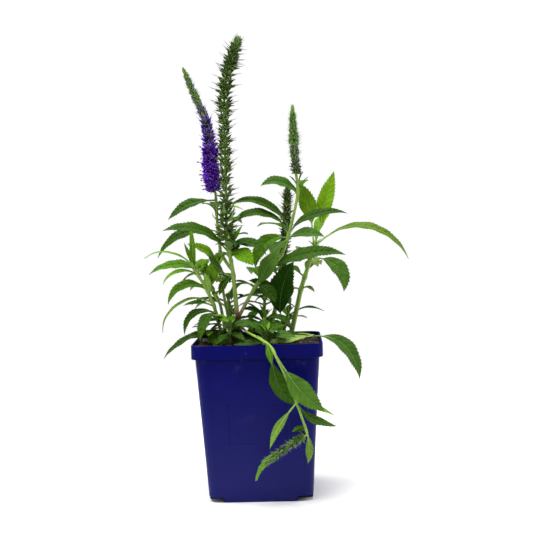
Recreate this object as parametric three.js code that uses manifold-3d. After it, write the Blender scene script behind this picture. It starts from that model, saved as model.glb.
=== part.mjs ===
// A spiked speedwell in a square nursery pot: stems, leafy shoots and flower spikes.
// Millimetres, +Z up. The origin is the middle of the pot's flat underside, and -Y is the front.
import * as THREE from 'three';
import { mergeVertices } from 'three/addons/utils/BufferGeometryUtils.js';
import Module from 'manifold-3d';

const wasm = await Module();
wasm.setup();

// Driving dimensions
const gap = 0.3; // between pieces that touch on the real plant
const overcut = 1; // how far a cutting body stands past what it cuts
const pot = {
  height: 138, rimHalf: 57, rimHeight: 12, neckHalf: 53.9, footHalf: 45.4, wall: 1.6,
  corner: 9, cornerSteps: 4, cornerLift: 4.5, skirtHalf: 34, skirtInnerHalf: 29,
  drainRadius: 4, drainAt: 38, drainSides: 12,
};
const soil = { level: 132, edgeLevel: 130.5, flatHalf: 48 };
const limb = { sides: 6, step: 8, flare: 1.7, flareLength: 9, sunk: 3 };
const leafShape = { rootHalf: 0.7, thin: 0.012, leastThick: 0.7, fold: 0.18 };
const longBlade = [[0.14, 0.55], [0.4, 1], [0.68, 0.72], [0.88, 0.3]]; // share of blade, share of width
const shortBlade = [[0.18, 0.65], [0.48, 1], [0.8, 0.5]]; // on leaves under shortLength
const shortLength = 38;
const pairVariety = { size: 0.15, heading: 15 };
const spikeTaper = 0.75; // share of the buds' reach that is lost at the tip

// A stretch of stem bends evenly in one upright plane:
// [length, heading, lean at its foot, lean at its top]. Heading 0 is +X and 90 is +Y; lean is from upright.
// A leaf is [distance along the shoot, heading, rise, droop, length, width, roll, stalk share].
// It leaves at its rise above level and bends down by its droop; roll turns its left edge up.
const shoots = [
  {
    name: 'crown', foot: [-20, -6], radius: [3.4, 2.9], bare: 28, woody: true,
    stretches: [[28, 295, 10, 8]],
  },
  {
    name: 'tall', on: ['crown', 28], radius: [2.3, 1.5], bare: 34, leafy: 68,
    stretches: [[42, 215, 4, 5], [26, 180, 9, 12], [115, 0, 1, 0], [72, 0, 2, 26]],
    spike: { core: [2.2, 3.4], reach: 6.5, rows: 26, around: 5, rise: 3, blunt: 0.9 },
    leaves: [
      [36, 208, 8, -65, 33, 14, -40, 0.3], [37, 200, -30, 45, 23, 6.5, -60, 0.2],
      [62, 350, 35, 95, 40, 12, 40, 0.1], [57, 330, 10, 70, 29, 14, 45, 0.1],
      [57, 205, 55, 72, 70, 17, -40, 0.12], [60, 25, 62, 10, 26, 5, 30, 0.1],
      [50, 95, 30, 60, 46, 12, 0, 0.15], [64, 60, 45, 60, 38, 10, 0, 0.15],
    ],
  },
  {
    name: 'purple', on: ['tall', 41], radius: [1.7, 1.2], bare: 22, leafy: 74,
    stretches: [
      [22, 145, 48, 28], [52, 120, 14, 0], [24, 180, 14, 6], [30, 180, 0, 3],
      [18, 180, 6, 18], [46, 180, 22, 22],
    ],
    spike: { core: [4.6, 1.5], reach: 9, rows: 19, around: 6, rise: 2, blunt: 0.3 },
    leaves: [
      [69, 190, 6, 54, 49, 10, -45, 0.15], [57, 230, 65, 80, 22, 10, 0, 0.2],
      [60, 15, 25, 50, 26, 6, 20, 0.2], [40, 165, 20, 82, 70, 11, -50, 0.15],
      [44, 60, 40, 70, 44, 12, 0, 0.15], [58, 95, 45, 70, 38, 10, 0, 0.15],
    ],
  },
  {
    name: 'right', on: ['crown', 24], radius: [1.6, 1.2], bare: 31, leafy: 151, split: 80,
    stretches: [
      [34, 38, 34, 38], [30, 22, 40, 46], [11, 22, 48, 40], [58, 18, 22, 12], [18, 0, 2, -10],
      [62, 180, 3, 0],
    ],
    spike: { core: [2.6, 1.6], reach: 4.4, rows: 13, around: 5, rise: 2, blunt: 0.4 },
    leaves: [
      [37, 345, 48, 64, 90, 15, 55, 0.28], [37, 310, 45, 5, 50, 15, 105, 0.1],
      [36, 190, 45, 150, 34, 6, -40, 0.35], [35, 170, 42, 65, 28, 6, 0, 0.1],
      [38, 330, -10, 60, 26, 12, 50, 0.1], [42, 100, 40, 70, 58, 14, 0, 0.15],
      [91, 200, 15, 110, 48, 14, -50, 0.1], [89, 240, -10, 30, 30, 18, 0, 0.1],
      [90, 345, 32, 60, 37, 11, 50, 0.1], [97, 185, 78, 104, 69, 9.5, -45, 0.15],
      [96, 195, 66, 116, 66, 11, -40, 0.15], [95, 5, 55, 75, 62, 9.5, 45, 0.12],
      [95, 135, 45, 70, 46, 11, 0, 0.15], [132, 190, 62, 95, 40, 13, -45, 0.1],
      [134, 150, 60, 80, 30, 7, 0, 0.1], [134, 75, 50, 60, 36, 10, 0, 0.15],
      [138, 340, 55, 20, 15, 3, 0, 0.2], [143, 30, 60, 0, 13, 3, 0, 0.2],
      [142, 200, 50, 10, 11, 3, 0, 0.2],
    ],
  },
  {
    name: 'shade', foot: [25, 9], radius: [1.6, 1.2], bare: 5, leafy: 14,
    stretches: [[14, 190, 6, 6]],
    leaves: [[12, 5, 108, 55, 66, 20, 60, 0.25], [10, 120, 35, 60, 28, 10, 0, 0.1]],
  },
  {
    name: 'middle', foot: [8, 10], radius: [2.1, 1.2], bare: 24, leafy: 72,
    stretches: [[36, 40, 18, 18], [20, 80, 10, 14], [16, 40, 20, 20], [76, 25, 14, 0]],
    spike: { core: [1.8, 1.8], reach: 4, rows: 13, around: 5, rise: 2, blunt: 0.8 },
    leaves: [
      [40, 185, 55, 115, 24, 5, -20, 0.1], [44, 165, 60, 60, 32, 11, -40, 0.15],
      [46, 200, 30, 60, 27, 9, -30, 0.15], [42, 340, 40, 60, 14, 6, 20, 0.1],
      [50, 75, 40, 70, 52, 13, 0, 0.15], [62, 115, 45, 70, 44, 12, 0, 0.15],
      [34, 70, 35, 70, 44, 12, 0, 0.15], [29, 30, 68, 15, 17, 6, 0, 0.15],
    ],
  },
  {
    name: 'back_right', foot: [28, 31], radius: [2.4, 1.7], bare: 44, leafy: 91,
    stretches: [[50, 20, 16, 14], [30, 15, 20, 20], [11, 10, 20, 22]],
    leaves: [
      [89, 150, 90, 25, 66, 19, -55, 0.38], [89, 0, 74, 0, 76, 18, 70, 0.34],
      [90, 350, 58, 138, 116, 9, 30, 0.3], [79, 340, 34, 147, 58, 13, 60, 0.2],
      [80, 310, 0, 80, 14, 7, 45, 0.1], [79, 200, 37, 100, 13, 5, -20, 0.1],
      [49, 330, 40, 100, 17, 5, 20, 0.1], [49, 190, 30, 60, 11, 4, -20, 0.1],
      [88, 65, 68, 60, 64, 11, 0, 0.2], [78, 100, 40, 70, 60, 15, 0, 0.15],
      [62, 70, 45, 70, 54, 14, 0, 0.15], [61, 130, 40, 70, 48, 13, 0, 0.15],
    ],
  },
  {
    name: 'left', foot: [-30, -9], radius: [1.9, 1.4], bare: 22, leafy: 78,
    stretches: [[40, 215, 15, 15], [38, 200, 22, 34]],
    leaves: [
      [32, 195, 30, 125, 42, 8, -35, 0.1], [38, 170, 30, 55, 30, 7, -30, 0.25],
      [41, 195, 35, 125, 64, 5.5, -20, 0.1], [54, 185, 46, 129, 46, 10, -40, 0.08],
      [75, 190, 70, 0, 27, 5, -60, 0.05], [74, 125, 75, -10, 44, 5, -40, 0.05],
      [76, 185, 64, 100, 52, 4.5, -20, 0.1], [68, 200, 47, 112, 40, 5.5, -25, 0.08],
      [32, 245, 10, 95, 48, 13, 0, 0.08], [26, 180, -5, 15, 22, 6, -20, 0.1],
      [60, 20, 45, 60, 24, 7, 0, 0.1], [70, 80, 50, 60, 38, 11, 0, 0.1],
    ],
  },
  {
    name: 'left_back', foot: [-28, -2], radius: [1.9, 1.4], bare: 30, leafy: 74,
    stretches: [[38, 195, 7, 10], [36, 195, 22, 34]],
    leaves: [
      [72, 180, 37, 77, 52, 11, -40, 0.08], [64, 20, 70, 30, 26, 9, 30, 0.1],
      [66, 110, 45, 70, 50, 13, 0, 0.1], [46, 125, 40, 70, 52, 13, 0, 0.12],
    ],
  },
  {
    name: 'inner', foot: [-23, 5], radius: [1.7, 1.2], bare: 26, leafy: 79,
    stretches: [[79, 140, 13, 13]],
    leaves: [
      [74, 190, 64, 55, 37, 11, -45, 0.1], [76, 10, 85, 10, 32, 5, 0, 0.1],
      [64, 300, 40, 110, 24, 9, 0, 0.1], [52, 100, 40, 70, 52, 13, 0, 0.15],
      [38, 70, 35, 60, 42, 12, 0, 0.15], [70, 100, 50, 70, 38, 11, 0, 0.15],
      [36, 140, 30, 70, 44, 12, 0, 0.15],
    ],
  },
  {
    name: 'creeping', foot: [30, 21], radius: [1.4, 1.1], bare: 38, leafy: 46,
    stretches: [[10, 300, 20, 70], [36, 298, 80, 96]],
    leaves: [[44, 190, -5, 0, 47, 7, -50, 0.1], [45, 345, 6, 112, 68, 15, 40, 0.18]],
  },
  {
    name: 'hanging', on: ['crown', 22], radius: [1.8, 1.3], bare: 36, leafy: 148, split: 112,
    stretches: [
      [30, 296, 112, 99], [26, 297, 99, 99], [20, 312, 99, 152], [72, 0, 155, 164],
      [42, 180, 120, 125], [19, 180, 136, 166],
    ],
    spike: { core: [2.6, 2.2], reach: 4.8, rows: 12, around: 5, rise: 2, blunt: 0.7 },
    leaves: [
      [39, 300, 10, 94, 42, 7, 60, 0.5], [70, 0, -100, -62, 54, 15, 60, 0.22],
      [73, 340, -46, 12, 62, 24, 70, 0.26], [120, 335, -54, -58, 43, 8, 40, 0.15],
      [118, 0, -15, 15, 36, 6, 30, 0.2], [120, 200, -41, 30, 45, 8, -60, 0.25],
      [145, 10, -50, 40, 27, 8, 75, 0.2], [144, 190, 10, 30, 12, 6, -30, 0.1],
      [141, 200, 0, 30, 12, 4, -30, 0.1],
    ],
  },
  {
    name: 'low_left', foot: [-39, -3], radius: [1.8, 1.4], bare: 6, leafy: 18,
    stretches: [[18, 200, 30, 40]],
    leaves: [
      [15, 197, -2, 52, 46, 8, -30, 0.1], [12, 275, 35, 60, 36, 14, 0, 0.1],
      [10, 125, 30, 60, 30, 9, 0, 0.15],
    ],
  },
  {
    name: 'low_front', foot: [0, -4], radius: [1.8, 1.3], bare: 8, leafy: 26,
    stretches: [[26, 20, 12, 20]],
    leaves: [
      [22, 175, 35, 50, 22, 6, -20, 0.1], [24, 355, 35, 110, 30, 8, 30, 0.1],
      [20, 235, 40, 130, 26, 9, 0, 0.15], [16, 290, 20, 90, 26, 11, 0, 0.1],
      [14, 330, 40, 100, 30, 9, 30, 0.1], [12, 215, 30, 60, 17, 8, -30, 0.1],
      [20, 90, 50, 60, 30, 9, 0, 0.15], [25, 180, 62, 85, 26, 7, -30, 0.1],
      [25, 150, 78, 20, 14, 5, 0, 0.1], [18, 200, 30, 60, 22, 10, -50, 0.1],
    ],
  },
  {
    name: 'low_right', foot: [17, -14], radius: [1.6, 1.3], bare: 3, leafy: 12,
    stretches: [[12, 330, 10, 16]],
    leaves: [
      [10, 275, 30, 70, 24, 11, 0, 0.1], [8, 60, 30, 75, 16, 8, 0, 0.1],
      [11, 200, 30, 50, 27, 9, -45, 0.1], [6, 20, 30, 45, 22, 9, 40, 0.1],
    ],
  },
  {
    name: 'low_middle', foot: [-25, -24], radius: [1.6, 1.2], bare: 4, leafy: 20,
    stretches: [[20, 280, 10, 16]],
    leaves: [
      [9, 190, 12, 30, 21, 10, -60, 0.15], [16, 15, 45, 60, 24, 9, 40, 0.15],
      [18, 330, 20, 60, 20, 8, 30, 0.1], [13, 240, 15, 70, 18, 8, 0, 0.1],
      [19, 150, 60, 50, 22, 8, -20, 0.1], [19, 80, 60, 60, 20, 7, 0, 0.1],
    ],
  },
  {
    name: 'low_rim', foot: [6, -33], radius: [1.5, 1.2], bare: 4, leafy: 15,
    stretches: [[15, 320, 12, 20]],
    leaves: [
      [5, 184, 4, 10, 28, 8, -30, 0.1], [12, 172, 60, 60, 22, 8, -30, 0.1],
      [12, 355, 12, 30, 26, 8, 40, 0.1], [14, 35, 45, 60, 22, 8, 20, 0.1],
      [14, 290, 40, 70, 18, 7, 0, 0.1], [14, 100, 55, 50, 22, 8, 0, 0.1],
    ],
  },
  {
    name: 'back_small', foot: [21, 45], radius: [1.6, 1.2], bare: 7, leafy: 26,
    stretches: [[26, 10, 12, 20]],
    leaves: [
      [22, 355, 45, 75, 38, 5, 20, 0.25], [20, 95, 40, 60, 40, 12, 0, 0.15],
      [13, 150, 30, 60, 34, 11, 0, 0.15], [15, 50, 35, 60, 34, 11, 0, 0.15],
    ],
  },
  {
    name: 'back_left', foot: [-24, 26], radius: [1.9, 1.4], bare: 12, leafy: 42,
    stretches: [[42, 110, 16, 22]],
    pairs: { first: 18, step: 10, heading: 20, rise: 35, droop: 70, length: 38, width: 11 },
  },
  {
    name: 'back_middle', foot: [3, 36], radius: [1.9, 1.4], bare: 10, leafy: 38,
    stretches: [[38, 80, 16, 24]],
    pairs: { first: 15, step: 10, heading: 350, rise: 30, droop: 75, length: 34, width: 11 },
  },
];

const rad = THREE.MathUtils.degToRad;

// A repeatable stream of numbers from 0 to 1
function randomStream(seed) {
  let state = seed >>> 0;
  return () => {
    state = (Math.imul(state, 1664525) + 1013904223) >>> 0;
    return state / 4294967296;
  };
}

// The point and the direction a given distance along a run of stretches
function along(start, stretches, distance) {
  const point = start.clone();
  const direction = new THREE.Vector3();
  let left = distance;
  for (const [length, heading, from, to] of stretches) {
    const part = Math.min(left, length);
    const low = rad(from);
    const high = rad(from + ((to - from) * part) / length);
    const even = Math.abs(high - low) < 1e-6;
    const outward = even ? part * Math.sin(low) : (part * (Math.cos(low) - Math.cos(high))) / (high - low);
    const upward = even ? part * Math.cos(low) : (part * (Math.sin(high) - Math.sin(low))) / (high - low);
    const ahead = new THREE.Vector3(Math.cos(rad(heading)), Math.sin(rad(heading)), 0);
    point.addScaledVector(ahead, outward);
    point.z += upward;
    direction.copy(ahead).multiplyScalar(Math.sin(high));
    direction.z = Math.cos(high);
    left -= part;
    if (left <= 0) break;
  }
  return { point, direction };
}

// A closed body through rings of equal count; a ring of one point is a tip
function loftGeometry(rings) {
  const points = rings.flat();
  const starts = rings.reduce((list, ring) => [...list, list.at(-1) + ring.length], [0]);
  const faces = [];
  const fan = (start, count, outwards) => {
    for (let i = 1; i < count - 1; i += 1) {
      faces.push(start, start + (outwards ? i : i + 1), start + (outwards ? i + 1 : i));
    }
  };
  for (let k = 0; k < rings.length - 1; k += 1) {
    const [a, b] = [starts[k], starts[k + 1]];
    const [countA, countB] = [rings[k].length, rings[k + 1].length];
    const count = Math.max(countA, countB);
    for (let i = 0; i < count; i += 1) {
      const j = (i + 1) % count;
      if (countB > 1) faces.push(a + (i % countA), b + j, b + i);
      if (countA > 1) faces.push(a + i, a + j, b + (j % countB));
    }
  }
  fan(starts[0], rings[0].length, false);
  fan(starts.at(-2), rings.at(-1).length, true);
  const geometry = new THREE.BufferGeometry().setFromPoints(points);
  geometry.setIndex(faces);
  return geometry;
}

// Manifold solids from three.js geometry and back
function solidFrom(geometry) {
  const bare = geometry.clone();
  bare.deleteAttribute('normal');
  bare.deleteAttribute('uv');
  const merged = mergeVertices(bare, 1e-4);
  const vertProperties = new Float32Array(merged.attributes.position.array);
  const triVerts = new Uint32Array(merged.index.array);
  return new wasm.Manifold(new wasm.Mesh({ numProp: 3, vertProperties, triVerts }));
}

function geometryFrom(solid) {
  const mesh = solid.getMesh();
  const geometry = new THREE.BufferGeometry();
  geometry.setAttribute('position', new THREE.BufferAttribute(new Float32Array(mesh.vertProperties), 3));
  geometry.setIndex(new THREE.BufferAttribute(new Uint32Array(mesh.triVerts), 1));
  geometry.computeVertexNormals();
  return geometry;
}

function largest(solid) {
  return solid.decompose().reduce((best, piece) => (piece.volume() > best.volume() ? piece : best));
}

// Pot and soil: rounded squares, lofted
function squareRing(half, z) {
  const ring = [];
  for (let quarter = 0; quarter < 4; quarter += 1) {
    for (let k = 0; k <= pot.cornerSteps; k += 1) {
      const turn = rad(90) * (quarter + k / pot.cornerSteps);
      const centre = half - pot.corner;
      const middle = rad(45 + 90 * quarter);
      const x = Math.sign(Math.cos(middle)) * centre + pot.corner * Math.cos(turn);
      const y = Math.sign(Math.sin(middle)) * centre + pot.corner * Math.sin(turn);
      ring.push(new THREE.Vector3(x, y, z));
    }
  }
  return ring;
}

const lofted = (rings) => solidFrom(loftGeometry(rings.map(([half, z]) => squareRing(half, z))));

// The four raised corners of the underside, each grown by a margin
function cornerBlocks(margin, height) {
  const near = pot.skirtHalf - margin;
  const inner = pot.skirtInnerHalf - margin;
  const far = pot.rimHalf;
  const blocks = [];
  for (const [sx, sy] of [[1, 1], [-1, 1], [-1, -1], [1, -1]]) {
    const outline = [[near, far], [inner, inner], [far, near], [far, far]];
    const shape = new THREE.Shape(outline.map(([x, y]) => new THREE.Vector2(sx * x, sy * y)));
    const block = new THREE.ExtrudeGeometry(shape, { depth: height + overcut, bevelEnabled: false });
    block.translate(0, 0, -overcut);
    blocks.push(solidFrom(block));
  }
  return blocks.reduce((all, block) => all.add(block));
}

function potSolid() {
  const { height, rimHalf, neckHalf, footHalf, wall, cornerLift } = pot;
  const ledge = height - pot.rimHeight;
  const outer = lofted([[footHalf, 0], [neckHalf, ledge], [rimHalf, ledge], [rimHalf, height]]);
  const cavity = lofted([
    [footHalf - wall, wall], [neckHalf - wall, ledge + wall],
    [rimHalf - wall, ledge + wall], [rimHalf - wall, height + overcut],
  ]);
  let body = outer.subtract(cornerBlocks(0, cornerLift));
  body = body.subtract(cavity.subtract(cornerBlocks(wall, cornerLift + wall)));
  for (const [sx, sy] of [[1, 1], [-1, 1], [-1, -1], [1, -1]]) {
    const drain = new THREE.CylinderGeometry(pot.drainRadius, pot.drainRadius, 4 * wall, pot.drainSides);
    drain.rotateX(rad(90));
    drain.translate(sx * pot.drainAt, sy * pot.drainAt, cornerLift + wall / 2);
    body = body.subtract(solidFrom(drain));
  }
  return body;
}

function soilSolid() {
  const { wall, footHalf, neckHalf, rimHalf, cornerLift } = pot;
  const ledge = pot.height - pot.rimHeight + wall;
  const inset = wall + gap;
  const body = lofted([
    [footHalf - inset, wall + gap], [neckHalf - inset, ledge + gap], [rimHalf - inset, ledge + gap],
    [rimHalf - inset, soil.edgeLevel], [soil.flatHalf, soil.level],
  ]);
  return body.subtract(cornerBlocks(inset, cornerLift + inset));
}

// A ring of points around a place on a stem, square to its direction
function stemRing({ point, direction }, radius, sides) {
  const side = new THREE.Vector3(0, 1, 0).cross(direction).normalize();
  const front = direction.clone().cross(side);
  return Array.from({ length: sides }, (_, i) => {
    const turn = (2 * Math.PI * i) / sides;
    const across = radius * Math.cos(turn);
    return point.clone().addScaledVector(side, across).addScaledVector(front, radius * Math.sin(turn));
  });
}

// A tapering stem between two distances along its shoot, grown all round by a margin
function stemSolid(shoot, from, to, margin = 0) {
  const count = Math.max(2, Math.ceil((to - from) / limb.step));
  const places = Array.from({ length: count + 1 }, (_, k) => from + ((to - from) * k) / count);
  const rings = places.map((distance) => {
    const place = placeOn(shoot, distance);
    if (distance === from) place.point.addScaledVector(place.direction, -margin);
    if (distance === to) place.point.addScaledVector(place.direction, margin);
    return stemRing(place, stemRadius(shoot, distance) + margin, limb.sides);
  });
  return solidFrom(loftGeometry(rings));
}

// Below its foot a stem runs straight on, to be cut flat at the soil
function placeOn(shoot, distance) {
  const { point, direction } = along(shoot.start, shoot.stretches, Math.max(distance, 0));
  if (distance < 0) point.addScaledVector(direction, distance);
  return { point, direction };
}

function stemRadius(shoot, distance) {
  const end = shoot.leafy ?? shoot.bare;
  const share = THREE.MathUtils.clamp(distance / end, 0, 1);
  const near = Math.max(0, 1 - Math.max(distance, 0) / limb.flareLength);
  const flare = shoot.foot ? 1 + (limb.flare - 1) * near * near : 1;
  return THREE.MathUtils.lerp(shoot.radius[0], shoot.radius[1], share) * flare;
}

// A leaf: a folded blade on a short stalk, its root at the middle of the stem
function leafSolid(shoot, row, grow = 0) {
  const [distance, heading, rise, droop, length, width, roll, stalk] = row;
  const root = placeOn(shoot, distance).point;
  const rib = [[length, heading, 90 - rise, 90 - rise + droop]];
  const across = new THREE.Vector3(-Math.sin(rad(heading)), Math.cos(rad(heading)), 0);
  const [cos, sin] = [Math.cos(rad(roll)), Math.sin(rad(roll))];
  const thick = Math.max(leafShape.leastThick, leafShape.thin * length) / 2 + grow;
  const ring = (share, half) => {
    const { point, direction } = along(root, rib, share * length);
    const upright = direction.clone().cross(across);
    const side = across.clone().multiplyScalar(cos).addScaledVector(upright, sin);
    const face = upright.clone().multiplyScalar(cos).addScaledVector(across, -sin);
    const lift = leafShape.fold * half;
    return [
      point.clone().addScaledVector(side, half + grow).addScaledVector(face, lift),
      point.clone().addScaledVector(face, thick),
      point.clone().addScaledVector(side, -half - grow).addScaledVector(face, lift),
      point.clone().addScaledVector(face, -thick),
    ];
  };
  const rings = [ring(0, leafShape.rootHalf), ring(stalk, leafShape.rootHalf)];
  const blade = length < shortLength ? shortBlade : longBlade;
  for (const [share, wide] of blade) rings.push(ring(stalk + share * (1 - stalk), (wide * width) / 2));
  rings.push([along(root, rib, length).point]);
  return solidFrom(loftGeometry(rings));
}

// Opposite pairs of leaves up a shoot, each pair turned a quarter from the last
function pairedLeaves(shoot, seed) {
  const { first, step, heading, rise, droop, length, width } = shoot.pairs;
  const random = randomStream(seed);
  const rows = [];
  for (let distance = first, turn = heading; distance < shoot.leafy - 1; distance += step, turn += 90) {
    for (const opposite of [0, 180]) {
      const size = 1 + pairVariety.size * (2 * random() - 1);
      const wander = pairVariety.heading * (2 * random() - 1);
      rows.push([distance, turn + opposite + wander, rise, droop, length * size, width * size, 0, 0.15]);
    }
  }
  return rows;
}

// A flower spike: one toothed body, each whorl of buds turned half a step from the last
function spikeSolid(shoot, from, to) {
  const { core, reach, rows, around, rise, blunt } = shoot.spike;
  const pitch = (to - from) / rows;
  const rings = [];
  for (let row = 0; row < rows; row += 1) {
    const share = row / rows;
    const fall = Math.max(0, (share - blunt) / (1 - blunt));
    const inner = THREE.MathUtils.lerp(core[0], core[1], share);
    const outer = THREE.MathUtils.lerp(reach, inner, spikeTaper * fall);
    const foot = from + row * pitch;
    rings.push(stemRing(placeOn(shoot, foot), inner, 2 * around));
    const middle = stemRing(placeOn(shoot, foot + pitch / 2), inner, 2 * around);
    const tips = stemRing(placeOn(shoot, foot + pitch / 2 + rise), outer, 2 * around);
    rings.push(middle.map((point, k) => ((k + row) % 2 ? point : tips[k])));
  }
  rings.push(stemRing(placeOn(shoot, to - pitch / 4), core[1], 2 * around), [placeOn(shoot, to).point]);
  return solidFrom(loftGeometry(rings));
}

// Assembly: every stem and spike first, then the leaves that find room between them
const colours = {
  pot: 0x17195f, soil: 0x33301f, wood: 0x6b5638, stem: 0x86a64a, leaf: 0x4f7036,
  tall_spike: 0x42602e, purple_spike: 0x38156d, right_spike: 0x5a7a44,
  middle_spike: 0x33401f, hanging_spike: 0x567833,
};
const massNames = ['foliage', 'tip_foliage'];
const pieces = new Map();
const addPiece = (name, solid, colour) => pieces.set(name, { solid, colour });
const ground = new THREE.BoxGeometry(2 * soil.flatHalf, 2 * soil.flatHalf, 4 * limb.sunk);
ground.translate(0, 0, soil.level + gap - 2 * limb.sunk);
const groundSolid = solidFrom(ground);

addPiece('pot', potSolid(), colours.pot);
addPiece('soil', soilSolid(), colours.soil);

// Cuts a stem clear of the stems that it forks from or passes
const grownStems = [];
function cleared(solid) {
  let cut = solid.subtract(groundSolid);
  for (const grown of grownStems) cut = cut.subtract(grown);
  return largest(cut);
}

for (const shoot of shoots) {
  if (shoot.on) {
    const [parentName, distance] = shoot.on;
    const parent = shoots.find((other) => other.name === parentName);
    shoot.start = placeOn(parent, distance).point;
  } else {
    shoot.start = new THREE.Vector3(...shoot.foot, soil.level);
  }
  const first = shoot.on ? 0 : -limb.sunk;
  const length = shoot.stretches.reduce((sum, [part]) => sum + part, 0);
  const ends = shoot.leafy ? [shoot.bare, ...(shoot.split ? [shoot.split] : []), shoot.leafy] : [shoot.bare];
  const spans = ends.map((end, k) => [k ? ends[k - 1] + gap : first, end]);
  const solids = spans.map(([from, to]) => {
    const solid = cleared(stemSolid(shoot, from, to));
    grownStems.push(stemSolid(shoot, from, to, gap));
    return solid;
  });
  addPiece(`${shoot.name}_stem`, solids[0], shoot.woody ? colours.wood : colours.stem);
  shoot.masses = spans.slice(1).map((span, k) => ({ name: `${shoot.name}_${massNames[k]}`, span }));
  shoot.masses.forEach(({ name }, k) => addPiece(name, solids[k + 1], colours.leaf));
  if (shoot.spike) {
    const name = `${shoot.name}_spike`;
    addPiece(name, cleared(spikeSolid(shoot, shoot.leafy + gap, length)), colours[name]);
  }
}

// A leaf that would touch another piece is left out
function hasRoom(test, ownName) {
  const box = test.boundingBox();
  for (const [name, { solid }] of pieces) {
    if (name === ownName) continue;
    const other = solid.boundingBox();
    const apart = [0, 1, 2].some((i) => box.min[i] > other.max[i] || box.max[i] < other.min[i]);
    if (!apart && !test.intersect(solid).isEmpty()) return false;
  }
  return true;
}

shoots.forEach((shoot, seed) => {
  const rows = [...(shoot.leaves ?? []), ...(shoot.pairs ? pairedLeaves(shoot, seed) : [])];
  for (const mass of shoot.masses) {
    const own = rows.filter(([distance]) => distance > mass.span[0] && distance <= mass.span[1]);
    const piece = pieces.get(mass.name);
    for (const row of own) {
      if (!hasRoom(leafSolid(shoot, row, gap), mass.name)) continue;
      piece.solid = piece.solid.add(leafSolid(shoot, row));
    }
  }
});

const plant = new THREE.Group();
for (const [name, { solid, colour }] of pieces) {
  const material = new THREE.MeshStandardMaterial({ color: colour, roughness: 0.6, metalness: 0 });
  const mesh = new THREE.Mesh(geometryFrom(solid), material);
  mesh.name = name;
  plant.add(mesh);
}

export default plant;
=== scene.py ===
import math
import random

import bmesh
import bpy
import numpy as np
from mathutils import Matrix, Vector, noise


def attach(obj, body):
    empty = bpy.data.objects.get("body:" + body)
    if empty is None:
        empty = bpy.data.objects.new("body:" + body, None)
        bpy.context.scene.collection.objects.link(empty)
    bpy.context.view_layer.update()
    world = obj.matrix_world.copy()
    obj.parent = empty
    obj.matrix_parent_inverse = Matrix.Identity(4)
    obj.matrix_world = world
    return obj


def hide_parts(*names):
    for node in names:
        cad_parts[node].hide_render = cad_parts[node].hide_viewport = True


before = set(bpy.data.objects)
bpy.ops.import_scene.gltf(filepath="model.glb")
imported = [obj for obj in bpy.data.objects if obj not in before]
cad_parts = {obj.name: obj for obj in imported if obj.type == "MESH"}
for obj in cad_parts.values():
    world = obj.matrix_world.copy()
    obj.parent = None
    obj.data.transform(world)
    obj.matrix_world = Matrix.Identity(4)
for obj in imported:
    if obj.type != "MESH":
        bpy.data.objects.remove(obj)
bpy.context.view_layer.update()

rad = math.radians
mm = 0.001
upward = np.array([0.0, 0.0, 1.0])


def addNode(tree, kind, place=(0, 0), **values):
    node = tree.nodes.new(kind)
    node.location = place
    for key, value in values.items():
        setattr(node, key, value)
    return node


def setInputs(node, values):
    for label, value in values.items():
        node.inputs[label].default_value = value


# camera, floor and light; angles in degrees, focal length and side in pixels, sensor in millimetres
cameraView = {
    "place": (0.033, -0.934, 0.234), "yaw": 1.46, "pitch": 1.9, "roll": 1.61, "focal": 1032, "side": 533,
    "sensor": 36, "clipStart": 0.02,
}


def placeCamera():
    yaw, pitch, roll = (rad(cameraView[key]) for key in ("yaw", "pitch", "roll"))
    ahead = Vector((-math.sin(yaw) * math.cos(pitch), math.cos(yaw) * math.cos(pitch), -math.sin(pitch)))
    right = Vector((math.cos(yaw), math.sin(yaw), 0))
    up = right.cross(ahead)
    rolledRight = right * math.cos(roll) - up * math.sin(roll)
    rolledUp = right * math.sin(roll) + up * math.cos(roll)
    axes = Matrix((rolledRight, rolledUp, -ahead)).transposed().to_4x4()
    data = bpy.data.cameras.new("camera")
    data.sensor_width = cameraView["sensor"]
    data.lens = cameraView["sensor"] * cameraView["focal"] / cameraView["side"]
    data.clip_start = cameraView["clipStart"]
    camera = bpy.data.objects.new("camera", data)
    camera.matrix_world = Matrix.Translation(cameraView["place"]) @ axes
    bpy.context.scene.collection.objects.link(camera)
    bpy.context.scene.camera = camera


studio = {
    "floorRadius": 0.8, "floorColour": (0.9, 0.9, 0.9), "floorRoughness": 0.8, "surround": 0.25,
    "aim": (0, 0, 0.22),
    "top": {"place": (-0.2, -0.1, 1.4), "size": 1.3, "power": 42},
    "left": {"place": (-1.0, -0.75, 0.75), "size": 0.8, "power": 2.6},
    "right": {"place": (1.0, 0.35, 0.5), "size": 0.5, "power": 6},
}


def softLight(name, place, size, power):
    data = bpy.data.lights.new(name, "AREA")
    data.size = size
    data.energy = power
    light = bpy.data.objects.new(name, data)
    light.location = place
    light.rotation_euler = (Vector(studio["aim"]) - Vector(place)).to_track_quat("-Z", "Y").to_euler()
    light.visible_camera = False
    bpy.context.scene.collection.objects.link(light)


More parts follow.
